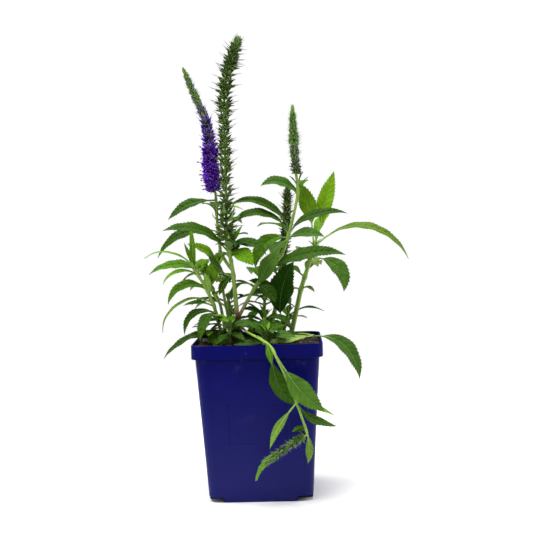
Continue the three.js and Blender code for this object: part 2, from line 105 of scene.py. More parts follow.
def buildStudio():
    bpy.ops.mesh.primitive_circle_add(vertices=96, radius=studio["floorRadius"], fill_type="NGON")
    floor = bpy.context.object
    floor.name = "floor"
    paper = bpy.data.materials.new("floorPaper")
    paper.use_nodes = True
    shader = paper.node_tree.nodes["Principled BSDF"]
    setInputs(shader, {"Base Color": (*studio["floorColour"], 1), "Roughness": studio["floorRoughness"]})
    floor.data.materials.append(paper)
    # the camera sees plain white round the floor, while the plant is lit by a dimmer surround
    world = bpy.data.worlds.new("studioLight")
    world.use_nodes = True
    tree = world.node_tree
    surround = tree.nodes["Background"]
    setInputs(surround, {"Color": (1, 1, 1, 1), "Strength": studio["surround"]})
    seen = addNode(tree, "ShaderNodeBackground")
    setInputs(seen, {"Color": (1, 1, 1, 1)})
    ray = addNode(tree, "ShaderNodeLightPath")
    blend = addNode(tree, "ShaderNodeMixShader")
    tree.links.new(ray.outputs["Is Camera Ray"], blend.inputs[0])
    tree.links.new(surround.outputs[0], blend.inputs[1])
    tree.links.new(seen.outputs[0], blend.inputs[2])
    tree.links.new(blend.outputs[0], tree.nodes["World Output"].inputs["Surface"])
    bpy.context.scene.world = world
    for name in ("top", "left", "right"):
        softLight(name + "Light", **studio[name])
    bpy.context.scene.view_settings.view_transform = "Standard"


placeCamera()
buildStudio()
print("camera, floor and light are set")


# helpers for materials
def newGroup(name, inputs, outputs):
    group = bpy.data.node_groups.new(name, "ShaderNodeTree")
    for label, kind, value in inputs:
        socket = group.interface.new_socket(label, in_out="INPUT", socket_type=kind)
        socket.default_value = value
    for label, kind in outputs:
        group.interface.new_socket(label, in_out="OUTPUT", socket_type=kind)
    return group, addNode(group, "NodeGroupInput", (-900, 0)), addNode(group, "NodeGroupOutput", (700, 0))


def feed(tree, sockets, values):
    # links each socket to the one given, or sets its value
    for socket, value in zip(sockets, values):
        if isinstance(value, bpy.types.NodeSocket):
            tree.links.new(value, socket)
        elif value is not None:
            socket.default_value = value


def mixColour(tree, factor, first, second, place):
    node = addNode(tree, "ShaderNodeMix", place, data_type="RGBA")
    feed(tree, (node.inputs[0], node.inputs[6], node.inputs[7]), (factor, first, second))
    return node.outputs[2]


def doSum(tree, operation, first, second=None, place=(0, 0)):
    node = addNode(tree, "ShaderNodeMath", place, operation=operation)
    feed(tree, node.inputs, (first, second))
    return node.outputs[0]


def remap(tree, value, low, high, newLow=0.0, newHigh=1.0, place=(0, 0)):
    node = addNode(tree, "ShaderNodeMapRange", place)
    feed(tree, node.inputs, (value, low, high, newLow, newHigh))
    return node.outputs[0]


def buildMottle():
    # soft blotches and a fine grain, both from the place in the object
    group, start, end = newGroup("mottle", [
        ("Colour", "NodeSocketColor", (0.1, 0.2, 0.05, 1)), ("Deep", "NodeSocketColor", (0.05, 0.1, 0.02, 1)),
        ("Blotch scale", "NodeSocketFloat", 120.0), ("Grain scale", "NodeSocketFloat", 900.0),
        ("Amount", "NodeSocketFloat", 0.5),
    ], [("Colour", "NodeSocketColor"), ("Height", "NodeSocketFloat")])
    place = addNode(group, "ShaderNodeTexCoord", (-900, -300)).outputs["Object"]
    blotch = addNode(group, "ShaderNodeTexNoise", (-600, 100))
    grain = addNode(group, "ShaderNodeTexNoise", (-600, -200))
    for node, scale, detail in ((blotch, "Blotch scale", 3), (grain, "Grain scale", 2)):
        group.links.new(place, node.inputs["Vector"])
        group.links.new(start.outputs[scale], node.inputs["Scale"])
        setInputs(node, {"Detail": detail})
    mask = remap(group, blotch.outputs["Fac"], 0.36, 0.66, place=(-350, 100))
    share = doSum(group, "MULTIPLY", mask, start.outputs["Amount"], (-150, 100))
    colour = mixColour(group, share, start.outputs["Colour"], start.outputs["Deep"], (100, 100))
    group.links.new(colour, end.inputs["Colour"])
    group.links.new(grain.outputs["Fac"], end.inputs["Height"])
    return group


def buildVeins():
    # side veins that run forward from the rib; the leaf's own attribute counts them along its third part. The
    # second output marks the grooves, where shade is painted into the leaf's colour
    group, start, end = newGroup("sideVeins", [("Spread", "NodeSocketFloat", 0.2)],
                                 [("Height", "NodeSocketFloat"), ("GrooveShade", "NodeSocketFloat")])
    place = addNode(group, "ShaderNodeAttribute", (-900, -200), attribute_name="leafPlace")
    parts = addNode(group, "ShaderNodeSeparateXYZ", (-700, -200))
    group.links.new(place.outputs["Vector"], parts.inputs[0])
    step = doSum(group, "FRACT", parts.outputs[2], place=(-450, -200))
    centred = doSum(group, "SUBTRACT", step, 0.5, (-250, -200))
    apart = doSum(group, "ABSOLUTE", centred, place=(-50, -200))
    vein = remap(group, apart, start.outputs["Spread"], 0.5, place=(200, -200))
    height = doSum(group, "SUBTRACT", 1.0, vein, (600, -200))
    group.links.new(vein, end.inputs["GrooveShade"])
    group.links.new(height, end.inputs["Height"])
    return group


mottle = buildMottle()
sideVeins = buildVeins()


def shaderOf(name, roughness, **sockets):
    material = bpy.data.materials.new(name)
    material.use_nodes = True
    tree = material.node_tree
    shader = tree.nodes["Principled BSDF"]
    setInputs(shader, {"Roughness": roughness})
    setInputs(shader, {label.replace("_", " "): value for label, value in sockets.items()})
    return material, tree, shader


def deeper(colour, share):
    return tuple(channel * share for channel in colour[:3]) + (1,)


def linear(red, green, blue):
    # from the usual 0 to 255 scale
    def channel(value):
        value /= 255
        return value / 12.92 if value <= 0.04045 else ((value + 0.055) / 1.055) ** 2.4
    return (channel(red), channel(green), channel(blue), 1)


def addMottle(tree, colour, deep, blotch, grain, amount):
    look = addNode(tree, "ShaderNodeGroup", (-600, 200), node_tree=mottle)
    setInputs(look, {
        "Colour": colour, "Deep": deeper(colour, deep), "Blotch scale": blotch, "Grain scale": grain,
        "Amount": amount,
    })
    return look.outputs["Colour"], look.outputs["Height"]


def addRelief(tree, shader, height, strength, distance):
    relief = addNode(tree, "ShaderNodeBump", (-150, -200))
    setInputs(relief, {"Strength": strength, "Distance": distance})
    tree.links.new(height, relief.inputs["Height"])
    tree.links.new(relief.outputs["Normal"], shader.inputs["Normal"])


def livingMaterial(name, colour, roughness=0.5, deep=0.72, blotch=110, grain=900, bump=0.25, veinGrooveShade=0,
                   amount=0.6, **sockets):
    material, tree, shader = shaderOf(name, roughness, **sockets)
    finish, height = addMottle(tree, colour, deep, blotch, grain, amount)
    # painted shade: the colour darkens along the vein grooves
    if veinGrooveShade:
        vein = addNode(tree, "ShaderNodeGroup", (-600, -150), node_tree=sideVeins)
        share = doSum(tree, "MULTIPLY", vein.outputs["GrooveShade"], veinGrooveShade, (-400, -150))
        finish = mixColour(tree, share, finish, deeper(colour, 0.5), (-300, 100))
        small = doSum(tree, "MULTIPLY", height, 0.35, (-400, -300))
        height = doSum(tree, "ADD", small, vein.outputs["Height"], (-250, -300))
    tree.links.new(finish, shader.inputs["Base Color"])
    addRelief(tree, shader, height, bump, 0.0003)
    return material


# Bright, light and yellow are partly young growth and partly painted light, for light shining through backlit
# leaves. Pale is a pale underside with painted light added.
# Leaf tones. Deep is partly painted shade, for leaves that sit in shadow.
leafTones = {
    "deep": (36, 72, 12), "dark": (53, 86, 18), "mid": (74, 118, 14), "bright": (96, 144, 18),
    "light": (106, 148, 26), "grey": (64, 99, 34), "yellow": (114, 158, 24), "pale": (152, 182, 88),
    "olive": (90, 120, 38), "soft": (108, 143, 56), "sage": (78, 117, 40),
}
ribTones = {
    "ribDark": (92, 126, 62), "ribMid": (118, 154, 76), "ribLight": (146, 184, 84),
    "ribPale": (176, 194, 140),
}
ribOf = {
    "deep": "ribDark", "dark": "ribDark", "mid": "ribMid", "grey": "ribMid", "bright": "ribLight",
    "light": "ribLight", "yellow": "ribLight", "pale": "ribPale", "olive": "ribLight", "soft": "ribLight",
    "sage": "ribMid",
}
underTones = {"underGrey": (100, 130, 70), "underBright": (124, 162, 60)}
# how much shade is painted into the vein grooves, and how deep the quilting is; smooth tones get less of both
veinLook = {"share": 0.4, "smoothShare": 0.18, "smoothQuilt": 0.4,
            "smoothTones": ("olive", "sage", "grey", "yellow", "light")}


def leafMaterials():
    found = []
    for key, tone in leafTones.items():
        share = veinLook["smoothShare" if key in veinLook["smoothTones"] else "share"]
        found.append(livingMaterial("leaf_" + key, linear(*tone), 0.46, deep=0.6, blotch=70, bump=0.5,
                                    veinGrooveShade=share, Specular_IOR_Level=0.04))
    found += [livingMaterial(key, linear(*tone), 0.55, deep=0.8, Specular_IOR_Level=0.1)
              for key, tone in ribTones.items()]
    found += [livingMaterial(key, linear(*tone), 0.62, veinGrooveShade=veinLook["share"], Specular_IOR_Level=0.2)
              for key, tone in underTones.items()]
    return found


leafFinish = leafMaterials()
finishNames = list(leafTones) + list(ribTones) + list(underTones)
stemTones = {
    "green": (133, 163, 72), "fresh": (136, 168, 68), "red": (122, 86, 62), "blush": (142, 138, 80),
    "wood": (74, 60, 42),
}
stemFinish = [
    livingMaterial("stem_" + key, linear(*tone), 0.55, deep=0.7, blotch=150, grain=1200, bump=0.35,
                   Specular_IOR_Level=0.25)
    for key, tone in stemTones.items()
]
stemNames = list(stemTones)
spikeTones = {
    "calyxDark": (54, 80, 34), "calyxMid": (108, 144, 62), "calyxPale": (120, 158, 66),
    "calyxGrey": (106, 132, 80), "calyxTip": (54, 68, 32), "calyxDeep": (60, 84, 36),
    "tipGreen": (100, 150, 40), "paleTip": (158, 166, 110), "podGreen": (118, 136, 60),
    "podBrown": (86, 60, 40), "styleGrey": (112, 116, 98), "styleBrown": (72, 64, 56),
    "violet": (90, 22, 166), "violetBright": (126, 56, 208), "violetDeep": (40, 8, 98),
    "violetPale": (136, 80, 210), "lilac": (136, 112, 166), "anther": (44, 28, 78),
    "hairWhite": (172, 176, 166), "budGreen": (92, 134, 54),
}
spikeFinish = [
    livingMaterial(key, linear(*tone), 0.6, deep=0.7, blotch=300, grain=1500, bump=0.2,
                   Specular_IOR_Level=0.2)
    for key, tone in spikeTones.items()
]
spikeNames = list(spikeTones)
print("materials are made")


# The plant's plan, in millimetres and degrees. It follows the solids' plan, with slimmer stems, some leaves
# fitted more closely and four leaves added. A stem is green where it names no other finish.
# A stretch of stem: length, heading, lean at its foot, lean at its top.
# A leaf: distance along the shoot, heading, rise, droop, length, width, roll, stalk share, tone.
shoots = [
    {
        "name": "crown", "foot": (-20, -6), "radius": (3.4, 2.9), "bare": 28, "stem": "wood",
        "stretches": [(28, 295, 10, 8)],
    },
    {
        "name": "tall", "grownOn": ("crown", 28), "radius": (2.1, 1.4), "bare": 34, "leafy": 68,
        "blush": ((0, 4, "red"), (4, 9, "blush")),
        "stretches": [(42, 215, 4, 5), (26, 180, 9, 12), (115, 0, 1, 0), (72, 0, 2, 26)],
        "leaves": [
            (36, 208, 8, -65, 33, 14, -40, 0.3, "grey"), (37, 200, -30, 45, 23, 6.5, -60, 0.2, "dark"),
            (62, 350, 35, 95, 40, 12, 40, 0.1, "dark"), (57, 330, 10, 70, 29, 14, 45, 0.1, "bright"),
            (57, 205, 55, 72, 70, 17, -40, 0.12, "dark"), (60, 25, 62, 10, 26, 5, 30, 0.1, "bright"),
            (50, 95, 30, 60, 46, 12, 0, 0.15, "dark"), (64, 60, 45, 60, 38, 10, 0, 0.15, "mid"),
        ],
    },
    {
        "name": "purple", "grownOn": ("tall", 41), "radius": (1.5, 1.1), "bare": 22, "leafy": 74,
        "stretches": [
            (22, 145, 48, 28), (52, 120, 14, 0), (24, 180, 14, 6), (30, 180, 0, 3), (18, 180, 6, 18),
            (46, 180, 22, 22),
        ],
        "leaves": [
            (69, 190, 6, 54, 49, 10, -45, 0.15, "dark"), (57, 230, 65, 80, 22, 10, 0, 0.2, "dark"),
            (60, 15, 25, 50, 26, 6, 20, 0.2, "pale"), (40, 165, 20, 82, 70, 11, -50, 0.15, "dark"),
            (44, 60, 40, 70, 44, 12, 0, 0.15, "mid"), (58, 95, 45, 70, 38, 10, 0, 0.15, "dark"),
        ],
    },
    {
        "name": "right", "grownOn": ("crown", 24), "radius": (1.6, 1.2), "bare": 31, "leafy": 151,
        "blush": ((0, 8, "red"), (8, 20, "blush")),
        "stretches": [
            (34, 38, 34, 38), (30, 22, 40, 46), (11, 22, 48, 40), (58, 18, 22, 12), (18, 0, 2, -10),
            (62, 180, 3, 0),
        ],
        "leaves": [
            (37, 345, 53, 71, 94, 14, 50, 0.28, "dark"), (37, 310, 45, 5, 50, 15, 105, 0.1, "sage"),
            (36, 190, 45, 150, 34, 6, -40, 0.35, "grey"), (35, 170, 42, 65, 28, 6, 0, 0.1, "dark"),
            (38, 330, -10, 60, 26, 12, 50, 0.1, "dark"), (42, 100, 40, 70, 58, 14, 0, 0.15, "mid"),
            (91, 200, 15, 110, 48, 14, -50, 0.1, "mid"), (89, 240, -10, 30, 30, 18, 0, 0.1, "grey"),
            (90, 345, 32, 60, 37, 11, 50, 0.1, "grey"), (97, 185, 78, 104, 69, 9.5, -45, 0.15, "dark"),
            (96, 195, 66, 116, 66, 11, -40, 0.15, "dark"), (95, 5, 55, 75, 62, 9.5, 45, 0.12, "dark"),
            (95, 135, 45, 70, 46, 11, 0, 0.15, "mid"), (132, 190, 62, 95, 40, 13, -45, 0.1, "grey"),
            (134, 150, 60, 80, 30, 7, 0, 0.1, "dark"), (134, 75, 50, 60, 36, 10, 0, 0.15, "mid"),
            (138, 340, 55, 20, 15, 3, 0, 0.2, "dark"), (143, 30, 60, 0, 13, 3, 0, 0.2, "grey"),
            (142, 200, 50, 10, 11, 3, 0, 0.2, "dark"),
        ],
    },
    {
        "name": "shade", "foot": (25, 9), "radius": (1.6, 1.2), "bare": 5, "leafy": 14,
        "stretches": [(14, 190, 6, 6)],
        # the broad leaf's deep tone is partly painted shade, for the shadow it sits in
        "leaves": [(12, 5, 108, 55, 66, 25, 60, 0.25, "deep"), (10, 120, 35, 60, 28, 10, 0, 0.1, "dark")],
    },
    {
        "name": "middle", "foot": (8, 10), "radius": (2.1, 1.2), "bare": 24, "leafy": 72, "stem": "fresh",
        "stretches": [(36, 40, 18, 18), (20, 80, 10, 14), (16, 40, 20, 20), (76, 25, 14, 0)],
        "leaves": [
            (40, 185, 55, 115, 24, 5, -20, 0.1, "dark"), (44, 165, 60, 60, 32, 11, -40, 0.15, "dark"),
            (46, 200, 30, 60, 27, 9, -30, 0.15, "dark"), (42, 340, 40, 60, 14, 6, 20, 0.1, "bright"),
            (50, 75, 40, 70, 52, 13, 0, 0.15, "mid"), (62, 115, 45, 70, 44, 12, 0, 0.15, "dark"),
            (34, 70, 35, 70, 44, 12, 0, 0.15, "mid"), (29, 30, 68, 15, 17, 6, 0, 0.15, "light"),
        ],
    },
    {
        "name": "back_right", "foot": (28, 31), "radius": (2.4, 1.7), "bare": 44, "leafy": 91,
        "stretches": [(50, 20, 16, 14), (30, 15, 20, 20), (11, 10, 20, 22)],
        "leaves": [
            # the light and yellow tones of the two top leaves are partly painted light, shining through them
            # from behind
            (89, 150, 90, 25, 66, 16, -55, 0.38, "light"), (89, 0, 74, 0, 76, 15.5, 70, 0.34, "yellow"),
            (90, 350, 52, 120, 107.5, 10.5, 34, 0.2, "olive"), (79, 340, 17, 122, 54, 14, 60, 0.24, "sage"),
            (80, 310, 0, 80, 14, 7, 45, 0.1, "pale"), (79, 200, 37, 100, 13, 5, -20, 0.1, "dark"),
            (49, 330, 40, 100, 17, 5, 20, 0.1, "grey"), (49, 190, 30, 60, 11, 4, -20, 0.1, "grey"),
            (88, 65, 68, 60, 64, 11, 0, 0.2, "bright"), (78, 100, 40, 70, 60, 15, 0, 0.15, "mid"),
            (62, 70, 45, 70, 54, 14, 0, 0.15, "mid"), (61, 130, 40, 70, 48, 13, 0, 0.15, "dark"),
        ],
    },
    {
        "name": "left", "foot": (-30, -9), "radius": (1.6, 1.15), "bare": 22, "leafy": 78,
        "blush": ((31, 35, "blush"),),
        "stretches": [(40, 215, 15, 15), (38, 200, 22, 34)],
        "leaves": [
            (32, 195, 30, 125, 42, 8, -35, 0.1, "dark"), (38, 170, 30, 55, 30, 7, -30, 0.25, "mid"),
            (41, 195, 35, 125, 64, 5.5, -20, 0.1, "olive"), (54, 185, 46, 129, 46, 10, -40, 0.08, "mid"),
            (75, 190, 70, 0, 27, 5, -60, 0.05, "bright"), (74, 125, 75, -10, 44, 5, -40, 0.05, "bright"),
            (76, 185, 64, 100, 52, 4.5, -20, 0.1, "bright"), (68, 200, 47, 112, 40, 5.5, -25, 0.08, "bright"),
            (32, 245, 10, 95, 42, 11, 0, 0.08, "dark"), (26, 180, -5, 15, 22, 6, -20, 0.1, "dark"),
            (60, 20, 45, 60, 24, 7, 0, 0.1, "bright"), (70, 80, 50, 60, 38, 11, 0, 0.1, "bright"),
            (53, 25, 76, 10, 33, 11, 58, 0.1, "light"), (48, 245, 72, 6, 24, 6.5, 10, 0.12, "yellow"),
        ],
    },
    {
        "name": "left_back", "foot": (-28, -2), "radius": (1.5, 1.1), "bare": 30, "leafy": 74,
        "stretches": [(38, 195, 7, 10), (36, 195, 22, 34)],
        "leaves": [
            (72, 180, 37, 77, 52, 11, -40, 0.08, "mid"), (64, 20, 70, 30, 26, 9, 30, 0.1, "mid"),
            (66, 110, 45, 70, 50, 13, 0, 0.1, "bright"), (46, 125, 40, 70, 52, 13, 0, 0.12, "mid"),
        ],
    },
    {
        "name": "inner", "foot": (-23, 5), "radius": (1.45, 1.05), "bare": 26, "leafy": 79,
        "stretches": [(79, 140, 13, 13)],
        "leaves": [
            (74, 190, 64, 55, 37, 11, -45, 0.1, "light"), (76, 10, 85, 10, 32, 5, 0, 0.1, "light"),
            (64, 300, 40, 110, 24, 9, 0, 0.1, "dark"), (52, 100, 40, 70, 52, 13, 0, 0.15, "mid"),
            (38, 70, 35, 60, 42, 12, 0, 0.15, "dark"), (70, 100, 50, 70, 38, 11, 0, 0.15, "bright"),
            (36, 140, 30, 70, 44, 12, 0, 0.15, "mid"),
        ],
    },
    {
        "name": "creeping", "foot": (30, 21), "radius": (1.4, 1.1), "bare": 38, "leafy": 46, "stem": "fresh",
        "stretches": [(10, 300, 20, 70), (36, 298, 80, 96)],
        "leaves": [(44, 190, -5, 0, 47, 6.5, -50, 0.1, "pale"), (45, 345, 6, 98, 63, 14, 40, 0.14, "grey")],
    },
    {
        "name": "hanging", "grownOn": ("crown", 22), "radius": (1.1, 0.95), "bare": 36, "leafy": 148,
        "stem": "fresh", "blush": ((0, 15, "red"), (15, 24, "blush")),
        "stretches": [
            (30, 296, 112, 99), (26, 297, 99, 99), (20, 312, 99, 152), (72, 0, 155, 164), (42, 180, 120, 125),
            (19, 180, 136, 166),
        ],
        "leaves": [
            (39, 300, 10, 94, 42, 7, 60, 0.5, "mid"), (70, 0, -100, -62, 54, 15, 60, 0.22, "dark"),
            (73, 346, -63, -27, 66, 17, 66, 0.3, "sage"), (120, 335, -54, -58, 43, 8, 40, 0.15, "dark"),
            (118, 0, -15, 15, 36, 6, 30, 0.2, "soft"), (120, 200, -41, 30, 45, 6.5, -60, 0.22, "soft"),
            (145, 10, -74, 30, 28, 7, 75, 0.2, "soft"), (144, 190, 10, 30, 12, 6, -30, 0.1, "mid"),
            (141, 200, 0, 30, 12, 4, -30, 0.1, "dark"),
        ],
    },
    {
        "name": "low_left", "foot": (-39, -3), "radius": (1.8, 1.4), "bare": 6, "leafy": 18,
        "stretches": [(18, 200, 30, 40)],
        "leaves": [
            (15, 197, -2, 52, 46, 8, -30, 0.1, "dark"), (12, 275, 35, 60, 36, 14, 0, 0.1, "mid"),
            (10, 125, 30, 60, 30, 9, 0, 0.15, "dark"), (11, 230, 30, 62, 27, 10, -20, 0.1, "dark"),
            (7, 212, 42, 72, 25, 9, -30, 0.1, "deep"),
        ],
    },
    {
        "name": "low_front", "foot": (0, -4), "radius": (1.8, 1.3), "bare": 8, "leafy": 26, "stem": "fresh",
        "stretches": [(26, 20, 12, 20)],
        "leaves": [
            (22, 175, 35, 50, 22, 6, -20, 0.1, "dark"), (24, 355, 35, 110, 30, 8, 30, 0.1, "dark"),
            (20, 235, 40, 130, 26, 9, 0, 0.15, "dark"), (16, 290, 20, 90, 26, 11, 0, 0.1, "dark"),
            (14, 330, 40, 100, 30, 9, 30, 0.1, "dark"), (12, 215, 30, 60, 17, 8, -30, 0.1, "deep"),
            (20, 90, 50, 60, 30, 9, 0, 0.15, "dark"), (25, 180, 62, 85, 26, 7, -30, 0.1, "dark"),
            (25, 150, 78, 20, 14, 5, 0, 0.1, "bright"), (18, 200, 30, 60, 22, 10, -50, 0.1, "dark"),
        ],
    },
    {
        "name": "low_right", "foot": (17, -14), "radius": (1.6, 1.3), "bare": 3, "leafy": 12,
        "stretches": [(12, 330, 10, 16)],
        "leaves": [
            (10, 275, 30, 70, 24, 11, 0, 0.1, "grey"), (8, 60, 30, 75, 16, 8, 0, 0.1, "grey"),
            (11, 200, 30, 50, 27, 9, -45, 0.1, "dark"), (6, 20, 30, 45, 22, 9, 40, 0.1, "dark"),
        ],
    },
    {
        "name": "low_middle", "foot": (-25, -24), "radius": (1.6, 1.2), "bare": 4, "leafy": 20,
        "stretches": [(20, 280, 10, 16)],
        "leaves": [
            (9, 190, 12, 30, 21, 10, -60, 0.15, "mid"), (16, 15, 45, 60, 24, 9, 40, 0.15, "grey"),
            (13, 330, 10, 60, 18, 7, 30, 0.1, "dark"), (13, 240, 15, 70, 18, 8, 0, 0.1, "dark"),
            (19, 150, 60, 50, 22, 8, -20, 0.1, "bright"), (19, 80, 60, 60, 20, 7, 0, 0.1, "mid"),
        ],
    },
    {
        "name": "low_rim", "foot": (6, -33), "radius": (1.5, 1.2), "bare": 4, "leafy": 15,
        "stretches": [(15, 320, 12, 20)],
        "leaves": [
            (5, 184, 4, 10, 28, 8, -30, 0.1, "dark"), (12, 172, 60, 60, 22, 8, -30, 0.1, "dark"),
            (12, 355, 12, 30, 26, 8, 40, 0.1, "grey"), (14, 35, 45, 60, 22, 8, 20, 0.1, "dark"),
            (14, 290, 40, 70, 18, 7, 0, 0.1, "grey"), (14, 100, 55, 50, 22, 8, 0, 0.1, "dark"),
        ],
    },
    {
        "name": "back_small", "foot": (21, 45), "radius": (1.6, 1.2), "bare": 7, "leafy": 26,
        "stretches": [(26, 10, 12, 20)],
        "leaves": [
            (22, 355, 45, 75, 38, 5, 20, 0.25, "dark"), (20, 95, 40, 60, 40, 12, 0, 0.15, "mid"),
            (13, 150, 30, 60, 34, 11, 0, 0.15, "dark"), (15, 50, 35, 60, 34, 11, 0, 0.15, "mid"),
        ],
    },
    {
        "name": "back_left", "foot": (-24, 26), "radius": (1.9, 1.4), "bare": 12, "leafy": 42,
        "stretches": [(42, 110, 16, 22)],
        "pairs": {
            "first": 18, "step": 10, "heading": 20, "rise": 35, "droop": 70, "length": 38, "width": 11,
        },
    },
    {
        "name": "back_middle", "foot": (3, 36), "radius": (1.9, 1.4), "bare": 10, "leafy": 38,
        "stretches": [(38, 80, 16, 24)],
        "pairs": {
            "first": 15, "step": 10, "heading": 350, "rise": 30, "droop": 75, "length": 34, "width": 11,
        },
    },
]
soilLevel = 132
pairVariety = {"size": 0.15, "heading": 15}


def along(start, stretches, distance):
    point, direction, left = np.array(start, float), upward, distance
    for length, heading, lean, topLean in stretches:
        part = min(left, length)
        low, high = rad(lean), rad(lean + (topLean - lean) * part / length)
        outward, rise = part * math.sin(low), part * math.cos(low)
        if abs(high - low) > 1e-6:
            outward = part * (math.cos(low) - math.cos(high)) / (high - low)
            rise = part * (math.sin(high) - math.sin(low)) / (high - low)
        ahead = np.array([math.cos(rad(heading)), math.sin(rad(heading)), 0.0])
        point = point + ahead * outward + upward * rise
        direction = ahead * math.sin(high) + upward * math.cos(high)
        left -= part
        if left <= 0:
            break
    return point, direction


def placeOn(shoot, distance):
    # below its foot a stem runs straight on
    point, direction = along(shoot["start"], shoot["stretches"], max(distance, 0))
    return point + direction * min(distance, 0), direction


def shootLength(shoot):
    return sum(stretch[0] for stretch in shoot["stretches"])


def repeatable(seed):
    # the same stream of numbers from 0 to 1 as the solids use
    state = seed
    while True:
        state = (state * 1664525 + 1013904223) % 4294967296
        yield state / 4294967296


def pairedLeaves(shoot, seed):
    pairs, stream, rows = shoot["pairs"], repeatable(seed), []
    distance, turn = pairs["first"], pairs["heading"]
    while distance < shoot["leafy"] - 1:
        for opposite in (0, 180):
            size = 1 + pairVariety["size"] * (2 * next(stream) - 1)
            wander = pairVariety["heading"] * (2 * next(stream) - 1)
            rows.append((distance, turn + opposite + wander, pairs["rise"], pairs["droop"],
                         pairs["length"] * size, pairs["width"] * size, 0, 0.15,
                         "mid" if opposite else "dark"))
        distance += pairs["step"]
        turn += 90
    return rows


byName = {shoot["name"]: shoot for shoot in shoots}
for seed, shoot in enumerate(shoots):
    shoot.setdefault("stem", "green")
    if "grownOn" in shoot:
        parent, distance = shoot["grownOn"]
        shoot["start"] = placeOn(byName[parent], distance)[0]
    else:
        shoot["start"] = np.array([*shoot["foot"], soilLevel], float)
    shoot["rows"] = shoot.get("leaves", []) + (pairedLeaves(shoot, seed) if "pairs" in shoot else [])


def wallFaces(ringCount, ringSize):
    # quads between closed rings, turned outwards where the rings turn left about their run
    first = np.arange(ringCount - 1)[:, None] * ringSize
    here = np.arange(ringSize)[None, :]
    there = (here + 1) % ringSize
    return np.stack([first + here, first + there, first + there + ringSize, first + here + ringSize], -1)


def closedLoft(rings, tip=None):
    # rings: (count, size, 3); a flat cap at the foot, a point or a flat cap at the top
    count, size = rings.shape[:2]
    faces = [tuple(face) for face in wallFaces(count, size).reshape(-1, 4)]
    faces.append(tuple(range(size - 1, -1, -1)))
    points = rings.reshape(-1, 3)
    last = (count - 1) * size
    if tip is None:
        faces.append(tuple(range(last, last + size)))
    else:
        points = np.vstack([points, tip])
        faces += [(last + k, last + (k + 1) % size, last + size) for k in range(size)]
    return points, faces


def fused(patches):
    # a patch: points in millimetres, faces, one material number for each face, optional place of each point
    points, faces, finish, offset = [], [], [], 0
    for patch in patches:
        points.append(patch[0])
        faces += [tuple(int(k) + offset for k in face) for face in patch[1]]
        finish += patch[2]
        offset += len(patch[0])
    return np.vstack(points), faces, finish


def selectOnly(*pieces):
    bpy.ops.object.select_all(action="DESELECT")
    for piece in pieces:
        piece.select_set(True)
    bpy.context.view_layer.objects.active = pieces[0]


def joinedMesh(name, patches, materials, slot, nodes, sharpness, attribute=None):
    points, faces, finish = fused(patches)
    mesh = bpy.data.meshes.new(name)
    mesh.from_pydata((points * mm).tolist(), [], faces)
    for material in materials:
        mesh.materials.append(material)
    mesh.polygons.foreach_set("material_index", finish)
    if attribute:
        layer = mesh.attributes.new(attribute, "FLOAT_VECTOR", "POINT")
        places = np.vstack([patch[3] for patch in patches])
        layer.data.foreach_set("vector", places.astype(np.float32).ravel())
    mesh.update()
    piece = bpy.data.objects.new(name, mesh)
    bpy.context.scene.collection.objects.link(piece)
    selectOnly(piece)
    bpy.ops.object.shade_smooth_by_angle(angle=rad(sharpness))
    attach(piece, "root")
    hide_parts(*nodes)
    triangles = sum(len(face) - 2 for face in faces)
    print(f"{name}: {triangles} triangles")


def smoothCurve(xs, ys, x):
    # a smooth line through the points, with no overshoot
    xs, ys = np.array(xs, float), np.array(ys, float)
    slope = np.diff(ys) / np.diff(xs)
    tangent = np.concatenate([[slope[0]], np.zeros(len(slope) - 1), [slope[-1]]])
    for k in range(1, len(slope)):
        if slope[k - 1] * slope[k] > 0:
            tangent[k] = 2 * slope[k - 1] * slope[k] / (slope[k - 1] + slope[k])
    k = np.clip(np.searchsorted(xs, x) - 1, 0, len(slope) - 1)
    width = xs[k + 1] - xs[k]
    t = (x - xs[k]) / width
    return (ys[k] * (2 * t ** 3 - 3 * t ** 2 + 1) + width * tangent[k] * (t ** 3 - 2 * t ** 2 + t)
            + ys[k + 1] * (3 * t ** 2 - 2 * t ** 3) + width * tangent[k + 1] * (t ** 3 - t ** 2))


leafShape = {
    "rootHalf": 0.7, "stalkThick": 1.2, "bladeThick": 0.42, "edgeThick": 0.05, "fold": 0.22,
    "foldVariety": 0.09,
    "longOutline": ((0.14, 0.55), (0.4, 1), (0.68, 0.72), (0.88, 0.3)),
    "shortOutline": ((0.18, 0.65), (0.48, 1), (0.8, 0.5)), "shortLength": 38,
    "toothPitch": 3.0, "toothDepth": 0.95, "ribHalf": 0.34, "ribGroove": 0.3, "ribKeel": 0.45,
    "ribTaper": 0.65, "ribShare": 0.16, "ribEdge": 0.12, "toothForward": (0.55, 0.2), "leastHalf": 0.12,
    "quilt": 0.42, "veinSlant": 0.9, "veinPitch": 1.85, "wave": 0.07, "waveLength": 13,
    "waveVariety": (0.8, 1.35), "twist": 9, "sway": 0.01, "swayPhase": 6, "fullHalf": 5, "fadeIn": 8,
    "fadeOut": 6, "stalkFade": 5,
}
# columns of points from the margin in towards the rib, as shares of the half width
halfColumns = (1, 0.92, 0.78, 0.62, 0.46, 0.3)
# tones of leaf with a bright underside
brightLeaves = ("bright", "light", "yellow", "olive", "pale")


